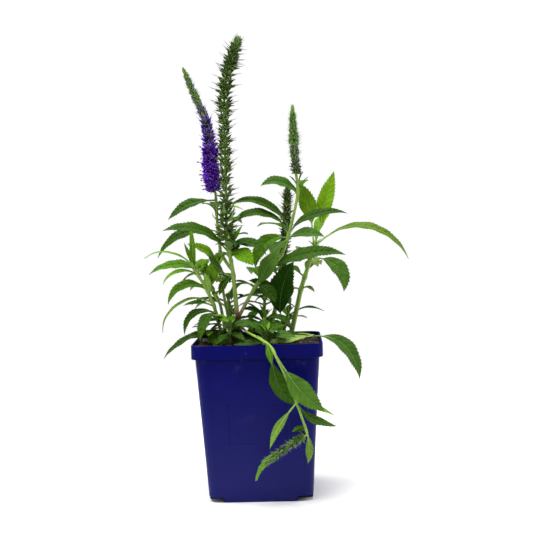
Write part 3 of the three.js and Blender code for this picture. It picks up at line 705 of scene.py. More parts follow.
def leafPatch(shoot, row, number):
    distance, heading, rise, droop, length, width, roll, stalk, tone = row
    chance = random.Random(number)
    shape = leafShape
    outline = shape["shortOutline"] if length < shape["shortLength"] else shape["longOutline"]
    blade = length * (1 - stalk)
    teeth = max(4, round(blade / (shape["toothPitch"] * (0.75 + 0.25 * min(length, 80) / 60))))
    toothPitch = blade / teeth
    # stations: a few down the stalk, then a valley, a shoulder and a peak for each tooth
    along3 = (np.arange(teeth)[:, None] + np.array([0, 0.4, 0.75])[None, :]).ravel() / teeth
    peak = np.tile([0.0, 0.45, 1.0], teeth)
    stalkShare = np.linspace(0, 1, 4)[:-1] * stalk
    share = np.concatenate([stalkShare, stalk + along3 * (1 - stalk)])
    peak = np.concatenate([np.zeros(3), peak])
    inBlade = np.clip((share - stalk) / (1 - stalk), 0, 1)
    xs = [0] + [place for place, wide in outline] + [1]
    ys = [shape["rootHalf"]] + [wide * width / 2 for place, wide in outline] + [0]
    half = np.where(share < stalk, shape["rootHalf"], smoothCurve(xs, ys, inBlade))
    half = np.maximum(half, shape["leastHalf"])
    # the rib's run, as in the solids, with a slight sway and twist
    lean, bend = rad(90 - rise), rad(droop)
    at = lean + bend * share
    if abs(bend) > 1e-6:
        outward = length / bend * (math.cos(lean) - np.cos(at))
        climb = length / bend * (np.sin(at) - math.sin(lean))
    else:
        outward, climb = share * length * math.sin(lean), share * length * math.cos(lean)
    ahead = np.array([math.cos(rad(heading)), math.sin(rad(heading)), 0.0])
    across = np.array([-ahead[1], ahead[0], 0.0])
    root = placeOn(shoot, distance)[0]
    centre = root + outward[:, None] * ahead + climb[:, None] * upward
    runs = np.sin(at)[:, None] * ahead + np.cos(at)[:, None] * upward
    upright = np.sin(at)[:, None] * upward - np.cos(at)[:, None] * ahead
    turn = (rad(roll) + rad(shape["twist"]) * chance.uniform(-1, 1) * share)[:, None]
    side = across * np.cos(turn) + upright * np.sin(turn)
    face = upright * np.cos(turn) - across * np.sin(turn)
    phaseTo = shape["swayPhase"]
    swing = shape["sway"] * length * np.sin(share * 6 + chance.uniform(0, phaseTo)) * np.sin(np.pi * share)
    lift = shape["sway"] * length * np.sin(share * 7 + chance.uniform(0, phaseTo)) * np.sin(np.pi * share)
    centre = centre + side * swing[:, None] + face * lift[:, None]
    # columns over the width: outer ones at shares of the half width, inner ones at the rib's edges
    ribHalf = shape["ribHalf"] * (1 - shape["ribTaper"] * inBlade)
    ribShare = np.minimum(ribHalf / half, shape["ribShare"])
    right = np.stack([np.full_like(half, c) for c in halfColumns] + [ribShare], -1)
    columns = np.concatenate([right, np.zeros((len(half), 1)), -right[:, ::-1]], 1)
    x = columns * half[:, None]
    reach = np.abs(columns)
    run = share * length
    fold = shape["fold"] + shape["foldVariety"] * chance.uniform(-1, 1)
    height = fold * half[:, None] * reach ** 1.25
    bladeMask = np.clip(inBlade * shape["fadeIn"], 0, 1) * np.clip((1 - inBlade) * shape["fadeOut"], 0, 1)
    veinCount = (run[:, None] - shape["veinSlant"] * np.abs(x)) / (shape["veinPitch"] * toothPitch)
    bulge = 0.5 - 0.5 * np.cos(2 * np.pi * veinCount)
    size = np.minimum(half / shape["fullHalf"], 1.0)
    window = np.sin(np.pi * np.clip(reach * 1.1, 0, 1)) ** 0.8
    quilt = shape["quilt"] * (veinLook["smoothQuilt"] if tone in veinLook["smoothTones"] else 1)
    height += quilt * (size * bladeMask)[:, None] * bulge * window
    phase = [chance.uniform(0, 2 * np.pi) for _ in range(2)]
    waveLength = shape["waveLength"] * chance.uniform(*shape["waveVariety"])
    for sign, start in ((1, phase[0]), (-1, phase[1])):
        wave = np.sin(2 * np.pi * run / waveLength + start) * shape["wave"] * half * bladeMask
        height += np.where(columns * sign > 0, wave[:, None] * reach ** 1.7, 0)
    # teeth push the margin out and forward
    tooth = shape["toothDepth"] * size * bladeMask * peak
    x[:, 0] += tooth
    x[:, -1] -= tooth
    forward = np.zeros_like(x)
    for k, pushed in enumerate(shape["toothForward"]):
        forward[:, [k, -1 - k]] = (pushed * toothPitch * size * bladeMask * peak)[:, None]
    inStalk = np.clip(1 - inBlade * shape["stalkFade"], 0, 1)
    thick = (shape["bladeThick"] + (shape["stalkThick"] - shape["bladeThick"]) * inStalk) / 2
    body = thick[:, None] * (1 - (1 - shape["edgeThick"]) * reach ** 3)
    ribTop, ribUnder = np.zeros_like(x), np.zeros_like(x)
    middle = len(halfColumns)
    ribTop[:, middle + 1] = -shape["ribGroove"] * size * (1 - inStalk)
    ribUnder[:, middle + 1] = shape["ribKeel"] * (1 - 0.7 * inBlade)
    ribUnder[:, [middle, middle + 2]] = shape["ribEdge"]
    surface = centre[:, None, :] + side[:, None, :] * x[..., None] + runs[:, None, :] * forward[..., None]
    top = surface + face[:, None, :] * (height + body + ribTop)[..., None]
    under = surface + face[:, None, :] * (height - body - ribUnder)[..., None]
    under = under[:, -2:0:-1, :]
    rings = np.concatenate([top, under], 1)
    tipPoint = root + along(np.zeros(3), [(length, heading, 90 - rise, 90 - rise + droop)], length)[0]
    points, faces = closedLoft(rings, tipPoint)
    # finish of each column of faces: upper side, rib, upper side, underside
    count = columns.shape[1]
    upper = finishNames.index(tone)
    rib = finishNames.index(ribOf[tone])
    beneath = finishNames.index("underBright" if tone in brightLeaves else "underGrey")
    ringFinish = [rib if k in (middle, middle + 1) else upper for k in range(count - 1)]
    ringFinish += [rib if k in (middle, middle + 1) else beneath for k in range(count - 1)]
    finish = np.tile(ringFinish, len(half) - 1)
    stalkFaces = np.repeat(share[:-1] < stalk * 0.98, len(ringFinish))
    finish = np.where(stalkFaces, rib, finish)
    finish = finish.tolist() + [rib] + ringFinish
    topPlace = np.stack([np.repeat(run[:, None], count, 1), x, veinCount], -1)
    place = np.concatenate([topPlace, topPlace[:, -2:0:-1, :]], 1).reshape(-1, 3)
    place = np.vstack([place, [[length, 0, veinCount[-1, count // 2]]]])
    return points, faces, finish, place


leafGroups = {
    "leaves_upper": ("tall", "purple", "right"),
    "leaves_right": ("back_right", "creeping", "hanging", "middle", "shade", "back_small"),
    "leaves_left": ("left", "left_back", "inner", "back_left", "back_middle"),
    "leaves_low": ("low_left", "low_front", "low_right", "low_middle", "low_rim"),
}
massNodes = {
    "right": ("right_foliage", "right_tip_foliage"), "hanging": ("hanging_foliage", "hanging_tip_foliage"),
}
tipLeaf = {
    "length": 10, "width": 3, "rise": 62, "droop": 25, "count": 4, "size": (0.7, 1.15), "wander": (-14, 14),
}


def tipRows(shoot, seed):
    # a shoot with no spike ends in small young leaves
    chance = random.Random(900 + seed)
    heading = chance.uniform(0, 90)
    return [
        (shoot["leafy"] - 0.6 * (k % 2), heading + 90 * k + chance.uniform(*tipLeaf["wander"]),
         tipLeaf["rise"], tipLeaf["droop"], tipLeaf["length"] * chance.uniform(*tipLeaf["size"]),
         tipLeaf["width"], 0, 0.1, "bright")
        for k in range(tipLeaf["count"])
    ]


# small young leaves crowd the foot of the plant
tufts = {
    "places": {
        "low_left": (9, 3, 18), "low_middle": (9, 3, 20), "low_front": (9, 3, 26), "low_right": (5, 3, 12),
        "low_rim": (4, 3, 15), "left": (6, 3, 34), "inner": (6, 3, 34), "tall": (9, 50, 69),
        "left_back": (8, 44, 73),
    },
    "bright": ("left_back",), "brightTones": ("bright", "light", "mid"),
    "length": (13, 25), "share": (0.3, 0.42), "rise": (10, 65), "droop": (30, 90), "turn": 140,
    "wander": (-30, 30), "roll": (-25, 25),
    "tones": ("dark", "dark", "mid", "bright", "deep", "grey"),
}


def tuftRows(shoot, seed):
    chance = random.Random(700 + seed)
    rows = []
    count, low, high = tufts["places"].get(shoot["name"], (0, 0, 0))
    tones = tufts["brightTones" if shoot["name"] in tufts["bright"] else "tones"]
    for k in range(count):
        length = chance.uniform(*tufts["length"])
        rows.append((chance.uniform(low, high), tufts["turn"] * k + chance.uniform(*tufts["wander"]),
                     chance.uniform(*tufts["rise"]), chance.uniform(*tufts["droop"]), length,
                     length * chance.uniform(*tufts["share"]), chance.uniform(*tufts["roll"]), 0.15,
                     chance.choice(tones)))
    return rows


spikedShoots = ("tall", "purple", "right", "middle", "hanging")
plainTips = (*spikedShoots, "creeping")


def buildLeaves():
    for name, members in leafGroups.items():
        patches, nodes = [], []
        for member in members:
            shoot = byName[member]
            seed = shoots.index(shoot)
            rows = shoot["rows"] + tuftRows(shoot, seed)
            rows += [] if member in plainTips else tipRows(shoot, seed)
            patches += [leafPatch(shoot, row, 100 * seed + k) for k, row in enumerate(rows)]
            nodes += massNodes.get(member, (member + "_foliage",))
        joinedMesh(name, patches, leafFinish, "foliage", nodes, sharpness=48, attribute="leafPlace")


buildLeaves()
print("leaves are grown")


stemShape = {
    "sides": 12, "step": 1.6, "sunk": 3, "flare": 1.7, "flareLength": 9, "nodeSwell": 0.28, "nodeReach": 1.7,
    "rib": 0.04, "bark": 0.07, "spikeTaper": 0.55, "blushJog": 1.8, "spikeTrim": {"tall": 7.5, "hanging": 3},
}


def stemRadius(shoot, distance):
    end = shoot.get("leafy", shoot["bare"])
    share = min(max(distance / end, 0), 1)
    near = max(0, 1 - max(distance, 0) / stemShape["flareLength"])
    flare = 1 + (stemShape["flare"] - 1) * near * near if "foot" in shoot else 1
    radius = (shoot["radius"][0] + (shoot["radius"][1] - shoot["radius"][0]) * share) * flare
    if distance > end:
        radius *= 1 - stemShape["spikeTaper"] * (distance - end) / max(shootLength(shoot) - end, 1)
    return radius


def spikeEnd(shoot):
    # the topmost buds reach past the end of the stem
    return shootLength(shoot) - stemShape["spikeTrim"].get(shoot["name"], 0)


def ringAxes(direction):
    side = np.cross([0.0, 1.0, 0.0], direction)
    side /= np.linalg.norm(side)
    return side, np.cross(direction, side)


def stemPatch(shoot, finish):
    nodes = sorted({row[0] for row in shoot["rows"]})
    first = -stemShape["sunk"] if "foot" in shoot else 0
    last = spikeEnd(shoot) if shoot["name"] in spikedShoots else shoot.get("leafy", shoot["bare"])
    count = max(3, math.ceil((last - first) / stemShape["step"]))
    chance = random.Random(len(shoot["name"]) * 31 + count)
    woody = shoot["stem"] == "wood"
    rings, distances = [], np.linspace(first, last, count + 1)
    turns = np.linspace(0, 2 * np.pi, stemShape["sides"], endpoint=False)
    for distance in distances:
        point, direction = placeOn(shoot, distance)
        side, front = ringAxes(direction)
        swell = sum(math.exp(-((distance - node) / stemShape["nodeReach"]) ** 2) for node in nodes)
        radius = stemRadius(shoot, distance) * (1 + stemShape["nodeSwell"] * min(swell, 1))
        ribs = 1 + stemShape["rib"] * np.sin(4 * turns + 0.02 * distance)
        if woody:
            ribs = ribs + np.array([chance.uniform(-stemShape["bark"], stemShape["bark"]) for _ in turns])
        round3 = np.cos(turns)[:, None] * side + np.sin(turns)[:, None] * front
        rings.append(point + round3 * (radius * ribs)[:, None])
    points, faces = closedLoft(np.array(rings))
    # faces take a blush's finish where their place, jogged a little, lies in its stretch
    tones = []
    for middle in np.repeat((distances[:-1] + distances[1:]) / 2, stemShape["sides"]):
        spot = middle + chance.uniform(-1, 1) * stemShape["blushJog"]
        blushes = (stemNames.index(key) for low, high, key in shoot.get("blush", ()) if low <= spot < high)
        tones.append(next(blushes, finish))
    return points, faces, tones + [finish] * 2


def buildStems():
    crown = [shoot for shoot in shoots if shoot["stem"] == "wood"]
    green = [shoot for shoot in shoots if shoot["stem"] != "wood"]
    for name, members, slot in (("old_crown", crown, "old_stem"), ("green_stems", green, "green_stem")):
        patches = [stemPatch(shoot, stemNames.index(shoot["stem"])) for shoot in members]
        nodes = [shoot["name"] + "_stem" for shoot in members]
        joinedMesh(name, patches, stemFinish, slot, nodes, sharpness=60)


buildStems()
print("stems are grown")


def spindle(path, halfWidths, sides=4, flat=1.0):
    # a closed slim body along a line of (y, z) points; a last width of 0 ends it in a point
    path = np.array([(0, *point) for point in path], float)
    tangent = np.gradient(path, axis=0)
    tangent /= np.linalg.norm(tangent, axis=1)[:, None]
    aside = np.array([1.0, 0.0, 0.0])
    front = np.cross(tangent, aside)
    turns = np.linspace(0, 2 * np.pi, sides, endpoint=False)
    rings = np.array([
        point + width * (np.cos(turns)[:, None] * aside + flat * np.sin(turns)[:, None] * up)
        for point, width, up in zip(path, halfWidths, front) if width > 0
    ])
    tip = path[-1] if halfWidths[-1] == 0 else None
    return closedLoft(rings, tip)


def finished(patch, finish):
    return patch[0], patch[1], [finish] * len(patch[1])


def banded(patch, sides, split, foot, tip):
    # the foot's finish up to the given band of faces, and the tip's beyond it
    return patch[0], patch[1], [foot if k < split * sides else tip for k in range(len(patch[1]))]


def turnedAbout(patch, angle, shift=(0, 0, 0)):
    cos, sin = math.cos(angle), math.sin(angle)
    turn = np.array([[cos, sin, 0], [-sin, cos, 0], [0, 0, 1.0]])
    return (patch[0] @ turn + np.array(shift), *patch[1:])


def whorl(patch, count, start=0.0):
    return [turnedAbout(patch, start + 2 * math.pi * k / count) for k in range(count)]


def hue(name):
    return spikeNames.index(name)


def makeForms():
    # small parts, along +Z from where they are attached, with +Y the way the spike runs
    sepal = spindle([(0.3, 0), (1.1, 1.6), (1.9, 3.4), (2.6, 5.0), (3.1, 6.4)],
                    (0.5, 1.0, 0.9, 0.5, 0), 4, 0.35)
    closedSepal = spindle([(0.2, 0), (1.0, 1.5), (0.85, 3.2), (0.2, 4.8)], (0.5, 0.8, 0.6, 0), 4, 0.4)
    bract = spindle([(-0.5, 0), (-1.4, 2.4), (-1.3, 5.0), (0, 7.6)], (0.5, 0.7, 0.45, 0), 4, 0.3)
    leaflet = spindle([(-0.6, 0), (-1.6, 2.6), (-2.2, 5.4), (-1.6, 8.2), (0.4, 10.4)],
                      (0.4, 1.2, 1.5, 0.8, 0), 4, 0.14)
    pod = spindle([(0, 0.4), (0, 1.3), (0, 2.7), (0, 3.8), (0, 4.2)], (0.5, 1.2, 1.45, 0.7, 0), 6, 0.7)
    bud = spindle([(0, 0.2), (0, 1.6), (0.1, 3.4), (0.2, 4.8), (0.3, 5.5)],
                  (0.4, 0.78, 0.98, 0.62, 0), 5)
    tube = spindle([(0, 0.6), (0, 2.2), (0, 3.4)], (0.6, 0.75, 1.0), 5)
    petal = spindle([(0.5, 2.8), (1.3, 4.2), (2.1, 5.6), (2.9, 6.6)], (0.6, 1.1, 0.85, 0), 4, 0.16)
    stamen = spindle([(0.3, 3.0), (1.0, 6.0), (1.3, 8.6)], (0.2, 0.17, 0.15), 3)
    anther = spindle([(1.3, 8.4), (1.35, 9.0), (1.4, 9.8)], (0.25, 0.5, 0), 4)
    style = spindle([(0, 3.0), (-1.2, 5.8), (-2.3, 8.6), (-2.9, 11.6)], (0.27, 0.23, 0.2, 0), 3)
    hair = spindle([(0, 1.0), (-1.1, 4.6), (-2.4, 8.2)], (0.2, 0.18, 0), 3)
    forms = {}
    openShades = {
        "Mid": ("calyxMid", "calyxDeep"), "Burnt": ("calyxMid", "calyxTip"),
        "Light": ("calyxDark", "paleTip"), "Grey": ("calyxGrey", "calyxDark"),
    }
    closedShades = {
        "Dark": ("calyxDark", "calyxDeep"), "Mid": ("calyxMid", "calyxDark"),
        "Pale": ("calyxPale", "calyxMid"), "Grey": ("calyxGrey", "calyxMid"),
        "Tip": ("tipGreen", "calyxPale"),
    }
    for label, form, shades in (("open", sepal, openShades), ("closed", closedSepal, closedShades)):
        for key, (foot, tip) in shades.items():
            parts = [banded(part, 4, 2, hue(foot), hue(tip)) for part in whorl(form, 4, rad(45))]
            forms[label + key] = fused(parts)
    for key in ("Mid", "Grey", "Pale", "Tip", "Light"):
        foot, tip = {**openShades, **closedShades}[key]
        forms["bract" + key] = banded(bract, 4, 2, hue(foot), hue(tip))
    for key in ("Mid", "Grey"):
        forms["leaflet" + key] = banded(leaflet, 4, 3, hue("calyx" + key), hue("calyxPale"))
    for key, form in (("podGreen", pod), ("podBrown", pod), ("styleGrey", style), ("styleBrown", style)):
        forms[key] = finished(form, hue(key))
    budTones = {
        "Green": "budGreen", "Tip": "tipGreen", "Lilac": "lilac", "Violet": "violet", "Deep": "violetDeep",
        "Bright": "violetBright",
    }
    for key, shade in budTones.items():
        forms["bud" + key] = finished(bud, hue(shade))
    # each floret runs from a deep tube to paler petal tips: painted shade inside the tube and painted
    # highlights at the tips
    petalTones = {
        "Violet": ("violetDeep", "violet", "violetBright"),
        "Bright": ("violet", "violetBright", "violetPale"), "Deep": ("violetDeep", "violetDeep", "violet"),
    }
    for key, (inner, foot, tip) in petalTones.items():
        petals = [banded(part, 4, 2, hue(foot), hue(tip)) for part in whorl(petal, 4)]
        forms["floret" + key] = fused([finished(tube, hue(inner))] + petals)
    pair = []
    for angle in (rad(60), rad(-50)):
        pair.append(finished(turnedAbout(stamen, angle), hue("violetBright")))
        pair.append(finished(turnedAbout(anther, angle), hue("anther")))
    forms["stamens"] = fused(pair)
    forms["styleViolet"] = finished(stamen, hue("violetBright"))
    forms["hair"] = finished(hair, hue("hairWhite"))
    return forms


forms = makeForms()


def setOn(form, point, axis, runDirection, size):
    # puts a small form on the spike: its +Z along axis, its +Y leaning the way the spike runs
    z = axis / np.linalg.norm(axis)
    y = runDirection - z * np.dot(runDirection, z)
    y /= np.linalg.norm(y)
    x = np.cross(y, z)
    points, faces, finish = forms[form]
    return point + size * (points @ np.array([x, y, z])), faces, finish


# Forms to choose from that several zones share. None leaves a place bare.
bare = (None,)
fewBracts = ("bractMid", None, None)
someBracts = ("bractMid", None)
paleBracts = ("bractMid", "bractPale", None)
fewPods = ("podGreen", None)
dryStyles = ("styleGrey", "styleBrown", None)
florets = ("floretViolet", "floretBright", "floretDeep")
hairs = ("hair",)
# Each spike in zones up its length: share from, share to, pieces per millimetre, lean up the axis, size,
# and the forms of each kind to choose from.
spikes = {
    "tall": [
        (0.0, 0.18, 0.66, (4, 40), (1.45, 1.3), {
            "calyx": ("openMid", "openGrey", "openGrey"), "bract": ("leafletGrey", "leafletMid", "bractGrey"),
            "pod": ("podGreen", "podBrown"), "style": dryStyles}),
        (0.18, 0.4, 0.6, (22, 46), (1.15, 1.2), {
            "calyx": ("openBurnt", "openMid", "openGrey"), "bract": ("bractMid", "bractGrey", None),
            "pod": ("podGreen", "podBrown", None), "style": dryStyles}),
        (0.4, 0.64, 0.72, (26, 46), (1.15, 1.2), {
            "calyx": ("openBurnt", "openMid", "openGrey"), "bract": fewBracts,
            "pod": fewPods, "style": dryStyles}),
        (0.64, 0.86, 1.1, (26, 44), (1.22, 1.28), {
            "calyx": ("openBurnt", "openMid"), "bract": fewBracts,
            "pod": fewPods, "style": dryStyles}),
        (0.86, 0.97, 1.6, (28, 52), (1.25, 1.0), {
            "calyx": ("openBurnt", "openMid"), "bract": fewBracts,
            "pod": fewPods, "style": dryStyles}),
        (0.97, 1.0, 3.6, (50, 74), (1.05, 1.0), {
            "calyx": ("closedGrey", "closedMid"), "bract": ("bractMid", "bractGrey"), "style": bare}),
    ],
    "middle": [
        (0.0, 0.9, 1.5, (34, 52), (0.9, 1.0), {
            "calyx": ("openMid", "openLight", "openMid"), "bract": ("bractGrey", "bractLight", None),
            "pod": ("podBrown", "podGreen"), "style": ("styleGrey", None)}),
        (0.9, 1.0, 3.0, (54, 82), (0.7, 0.5), {
            "calyx": ("closedDark", "closedMid"), "bract": ("bractMid",), "style": bare}),
    ],
    "purple": [
        (0.028, 0.12, 3.1, (4, 14), (0.95, 1.1), {
            "calyx": ("closedMid", "closedDark"), "flower": florets,
            "style": ("stamens", "stamens", None)}),
        (0.12, 0.34, 3.0, (8, 26), (1.12, 1.08), {
            "calyx": ("closedMid", "closedDark"), "flower": florets,
            "style": ("stamens", "styleViolet", "styleViolet")}),
        (0.34, 0.56, 2.7, (16, 38), (1.4, 1.1), {
            "calyx": ("closedMid", None), "flower": ("budViolet", "budBright", "budDeep"),
            "style": ("styleViolet", None, None)}),
        (0.56, 0.7, 2.8, (36, 46), (0.98, 0.88), {
            "calyx": ("closedGrey", "closedMid"), "flower": ("budLilac", "budViolet", "budLilac"),
            "bract": someBracts, "style": bare}),
        (0.7, 0.93, 3.2, (42, 54), (0.9, 0.72), {
            "calyx": ("closedGrey", "closedDark", "closedMid"),
            "flower": ("budGreen", "budGreen", "budLilac"),
            "bract": someBracts, "style": ("hair", None)}),
        (0.93, 1.0, 4.2, (56, 76), (0.66, 0.45), {
            "calyx": ("closedPale", "closedMid"), "flower": ("budGreen",), "style": bare}),
    ],
    "right": [
        (0.0, 0.16, 1.4, (18, 40), (0.84, 0.88), {
            "calyx": ("openMid", "openGrey", "closedGrey"), "flower": ("budLilac", "budGreen", None),
            "bract": ("bractMid", "bractGrey"), "style": hairs}),
        (0.16, 0.42, 3.0, (30, 46), (0.86, 1.04), {
            "calyx": ("closedMid", "closedGrey", "closedGrey"),
            "flower": ("budLilac", "budGreen", "budGreen"),
            "bract": ("bractGrey", None, None), "style": hairs}),
        (0.42, 0.86, 3.8, (40, 56), (1.06, 0.7), {
            "calyx": ("closedMid", "closedMid", "closedDark"), "flower": ("budGreen",),
            "bract": paleBracts, "style": hairs}),
        (0.86, 1.0, 4.8, (54, 80), (0.68, 0.5), {
            "calyx": ("closedTip", "closedPale"), "flower": ("budTip",), "style": hairs}),
    ],
    "hanging": [
        (0.04, 0.5, 2.1, (30, 48), (0.72, 0.84), {
            "calyx": ("openMid", "closedDark", "closedPale"), "flower": ("budLilac", "budGreen"),
            "bract": paleBracts, "style": ("hair", None)}),
        (0.5, 0.72, 3.0, (44, 58), (0.86, 0.8), {
            "calyx": ("closedPale", "closedMid"), "flower": ("budGreen",),
            "bract": ("bractTip", "bractPale", None), "style": ("hair", None)}),
        (0.72, 1.0, 4.6, (58, 78), (0.78, 0.5), {
            "calyx": ("closedTip",), "flower": ("budTip",), "style": bare}),
    ],
}
goldenTurn = 137.5
spikeVariety = {"turn": 16, "lean": 9, "size": (0.85, 1.12), "seat": 0.75}
# where pieces gather in whorls: millimetres apart, how firmly, and up to which share of the spike
whorls = {"tall": {"pitch": 5.4, "pull": 0.75, "to": 0.86}}


def spikePatches(name):
    shoot = byName[name]
    chance = random.Random(name)
    first, last = shoot["leafy"] + 0.3, spikeEnd(shoot)
    found = {"calyx": [], "bract": [], "pod": [], "flower": [], "style": []}
    turnJog, leanJog = spikeVariety["turn"], spikeVariety["lean"]
    number = 0
    for low, high, density, lean, size, kinds in spikes[name]:
        count = max(2, round((high - low) * (last - first) * density))
        for k in range(count):
            share = (k + 0.5) / count
            distance = first + (last - first) * (low + (high - low) * share)
            if name in whorls and high <= whorls[name]["to"]:
                pitch = whorls[name]["pitch"]
                distance += (pitch * round(distance / pitch) - distance) * whorls[name]["pull"]
            point, direction = placeOn(shoot, distance)
            side, front = ringAxes(direction)
            turn = rad(goldenTurn * number + chance.uniform(-turnJog, turnJog))
            outward = side * math.cos(turn) + front * math.sin(turn)
            tilt = rad(lean[0] + (lean[1] - lean[0]) * share + chance.uniform(-leanJog, leanJog))
            axis = outward * math.cos(tilt) + direction * math.sin(tilt)
            scale = (size[0] + (size[1] - size[0]) * share) * chance.uniform(*spikeVariety["size"])
            base = point + outward * stemRadius(shoot, distance) * spikeVariety["seat"]
            for kind, choices in kinds.items():
                form = choices[chance.randrange(len(choices))]
                if form:
                    found[kind].append(setOn(form, base, axis, direction, scale))
            number += 1
    return found


spikeSlots = {
    "seed": ("seed_spike", ("tall", "middle")), "flower": ("flower_spike", ("purple",)),
    "bud": ("bud_spike", ("right", "hanging")),
}
kindNames = {
    "calyx": "calyces", "bract": "bracts", "pod": "seed_pods", "flower": "blossom", "style": "styles",
}


def buildSpikes():
    for group, (slot, members) in spikeSlots.items():
        found = [spikePatches(name) for name in members]
        for kind, label in kindNames.items():
            patches = [patch for spike in found for patch in spike[kind]]
            if patches:
                nodes = [name + "_spike" for name in members]
                joinedMesh(f"{group}_{label}", patches, spikeFinish, slot, nodes, sharpness=60)


buildSpikes()
print("spikes are grown")


potShape = {
    "height": 0.138, "rimHalf": 0.057, "rimHeight": 0.012, "neckHalf": 0.0539, "footHalf": 0.0454,
    "wall": 0.0016, "corner": 0.009, "cornerLift": 0.0045, "skirtHalf": 0.034, "skirtInnerHalf": 0.029,
    "drainRadius": 0.004, "drainAt": 0.038, "edgeRound": 0.0005, "panelHalfWidth": 0.0265,
    # the last size on the next line is how far down the painted shade under the rim reaches
    "panelHalfHeight": 0.019, "panelAt": 0.0686, "panelDepth": 0.0008, "panelRound": 0.0015, "paintedRimShade": 0.0034,
    # the plastic's colour, the colour of a painted sheen for the lower wall, the dust's colour and the
    # roughness
    "colour": (8, 10, 88), "paintedSheenColour": (84, 86, 138), "dust": (150, 146, 150), "roughness": 0.36,
    "scratches": (60, 60, 900), "scuffScale": 55, "relief": 0.12,
    # ranges of a value and what each turns into
    "scuffs": (0.62, 0.76, 0.0, 0.45), "rimDust": (0.112, 0.138, 0.05, 1.0),
    "paintedSheenShare": (0.015, 0.114, 0.12, 0.0), "shine": (0.3, 0.7, 0.3, 0.46),
}


def startEdit(piece):
    selectOnly(piece)
    bpy.ops.object.mode_set(mode="EDIT")


def closeShell():
    # turns every face outwards and leaves edit mode
    bpy.ops.mesh.select_all(action="SELECT")
    bpy.ops.mesh.normals_make_consistent(inside=False)
    bpy.ops.object.mode_set(mode="OBJECT")


def roundedSquare(half, height, corner, segments):
    # stays in edit mode with all of it selected, ready to be extruded
    bpy.ops.mesh.primitive_plane_add(size=2 * half, location=(0, 0, height))
    square = bpy.context.object
    startEdit(square)
    bpy.ops.mesh.select_all(action="SELECT")
    bpy.ops.mesh.bevel(offset=corner, offset_type="OFFSET", segments=segments, affect="VERTICES")
    bpy.ops.mesh.select_all(action="SELECT")
    return square


def extrudeTo(rise, scale):
    bpy.ops.mesh.extrude_region_move(TRANSFORM_OT_translate={"value": (0, 0, rise)})
    if scale != 1:
        bpy.ops.transform.resize(value=(scale, scale, 1))


def applyModifier(piece, kind, **settings):
    selectOnly(piece)
    modifier = piece.modifiers.new(kind.lower(), kind)
    for key, value in settings.items():
        setattr(modifier, key, value)
    bpy.ops.object.modifier_apply(modifier=modifier.name)


def softenEdges(piece, width, segments):
    applyModifier(piece, "BEVEL", width=width, segments=segments, limit_method="ANGLE", angle_limit=rad(35))


def cutWith(piece, cutters):
    selectOnly(*cutters)
    if len(cutters) > 1:
        bpy.ops.object.join()
    cutter = bpy.context.object
    applyModifier(piece, "BOOLEAN", operation="DIFFERENCE", object=cutter, solver="EXACT")
    bpy.data.objects.remove(cutter)


def moveCorners(cutter, chosen, shift):
    startEdit(cutter)
    bpy.ops.mesh.select_all(action="DESELECT")
    bpy.ops.mesh.select_mode(type="VERT")
    shape = bmesh.from_edit_mesh(cutter.data)
    for vertex in shape.verts:
        vertex.select = chosen(cutter.matrix_world @ vertex.co)
    shape.select_flush(True)
    bmesh.update_edit_mesh(cutter.data)
    bpy.ops.transform.translate(value=shift)
    bpy.ops.object.mode_set(mode="OBJECT")


def placeCube(size, place, turn=(0, 0, 0)):
    bpy.ops.mesh.primitive_cube_add(size=1, location=place, rotation=turn, scale=size)
    bpy.ops.object.transform_apply(location=False, rotation=False, scale=True)
    return bpy.context.object


def plasticMaterial():
    shape = potShape
    material, tree, shader = shaderOf("potPlastic", shape["roughness"], Specular_IOR_Level=0.05)
    colour = linear(*shape["colour"])
    mottled, grainHeight = addMottle(tree, colour, 0.78, 30, 1500, 0.6)
    place = addNode(tree, "ShaderNodeTexCoord", (-1100, -200)).outputs["Object"]
    scratches = addNode(tree, "ShaderNodeMapping", (-900, -200))
    setInputs(scratches, {"Scale": shape["scratches"]})
    tree.links.new(place, scratches.inputs["Vector"])
    lines = addNode(tree, "ShaderNodeTexNoise", (-700, -200))
    setInputs(lines, {"Scale": 1, "Detail": 4})
    tree.links.new(scratches.outputs["Vector"], lines.inputs["Vector"])
    scuff = addNode(tree, "ShaderNodeTexNoise", (-700, -450))
    setInputs(scuff, {"Scale": shape["scuffScale"], "Detail": 6})
    tree.links.new(place, scuff.inputs["Vector"])
    scuffMask = remap(tree, scuff.outputs["Fac"], *shape["scuffs"], (-500, -450))
    height = addNode(tree, "ShaderNodeSeparateXYZ", (-900, -650))
    tree.links.new(place, height.inputs[0])
    nearRim = remap(tree, height.outputs[2], *shape["rimDust"], (-700, -650))
    dust = doSum(tree, "MULTIPLY", scuffMask, nearRim, (-350, -500))
    # a thin film of dust lightens the lower wall
    # a painted sheen: the wall is painted lighter towards the bottom, so that its upper part reads as shaded
    paintedSheenShare = remap(tree, height.outputs[2], *shape["paintedSheenShare"], (-700, -850))
    sheenedColour = mixColour(tree, paintedSheenShare, mottled, linear(*shape["paintedSheenColour"]), (-400, 100))
    dusty = mixColour(tree, dust, sheenedColour, linear(*shape["dust"]), (-250, 100))
    # painted shade: a dark band is painted on the wall just under the rim, where the rim shades it
    ledge = shape["height"] - shape["rimHeight"]
    nearLedge = remap(tree, height.outputs[2], ledge - shape["paintedRimShade"], ledge, 0.0, 0.8, (-700, -1050))
    belowLedge = doSum(tree, "LESS_THAN", height.outputs[2], ledge + 0.0002, (-700, -1250))
    paintedRimShade = doSum(tree, "MULTIPLY", nearLedge, belowLedge, (-450, -1100))
    finish = mixColour(tree, paintedRimShade, dusty, deeper(colour, 0.3), (-100, 100))
    tree.links.new(finish, shader.inputs["Base Color"])
    rough = remap(tree, lines.outputs["Fac"], *shape["shine"], (-350, -200))
    tree.links.new(rough, shader.inputs["Roughness"])
    addRelief(tree, shader, grainHeight, shape["relief"], 0.0002)
    return material


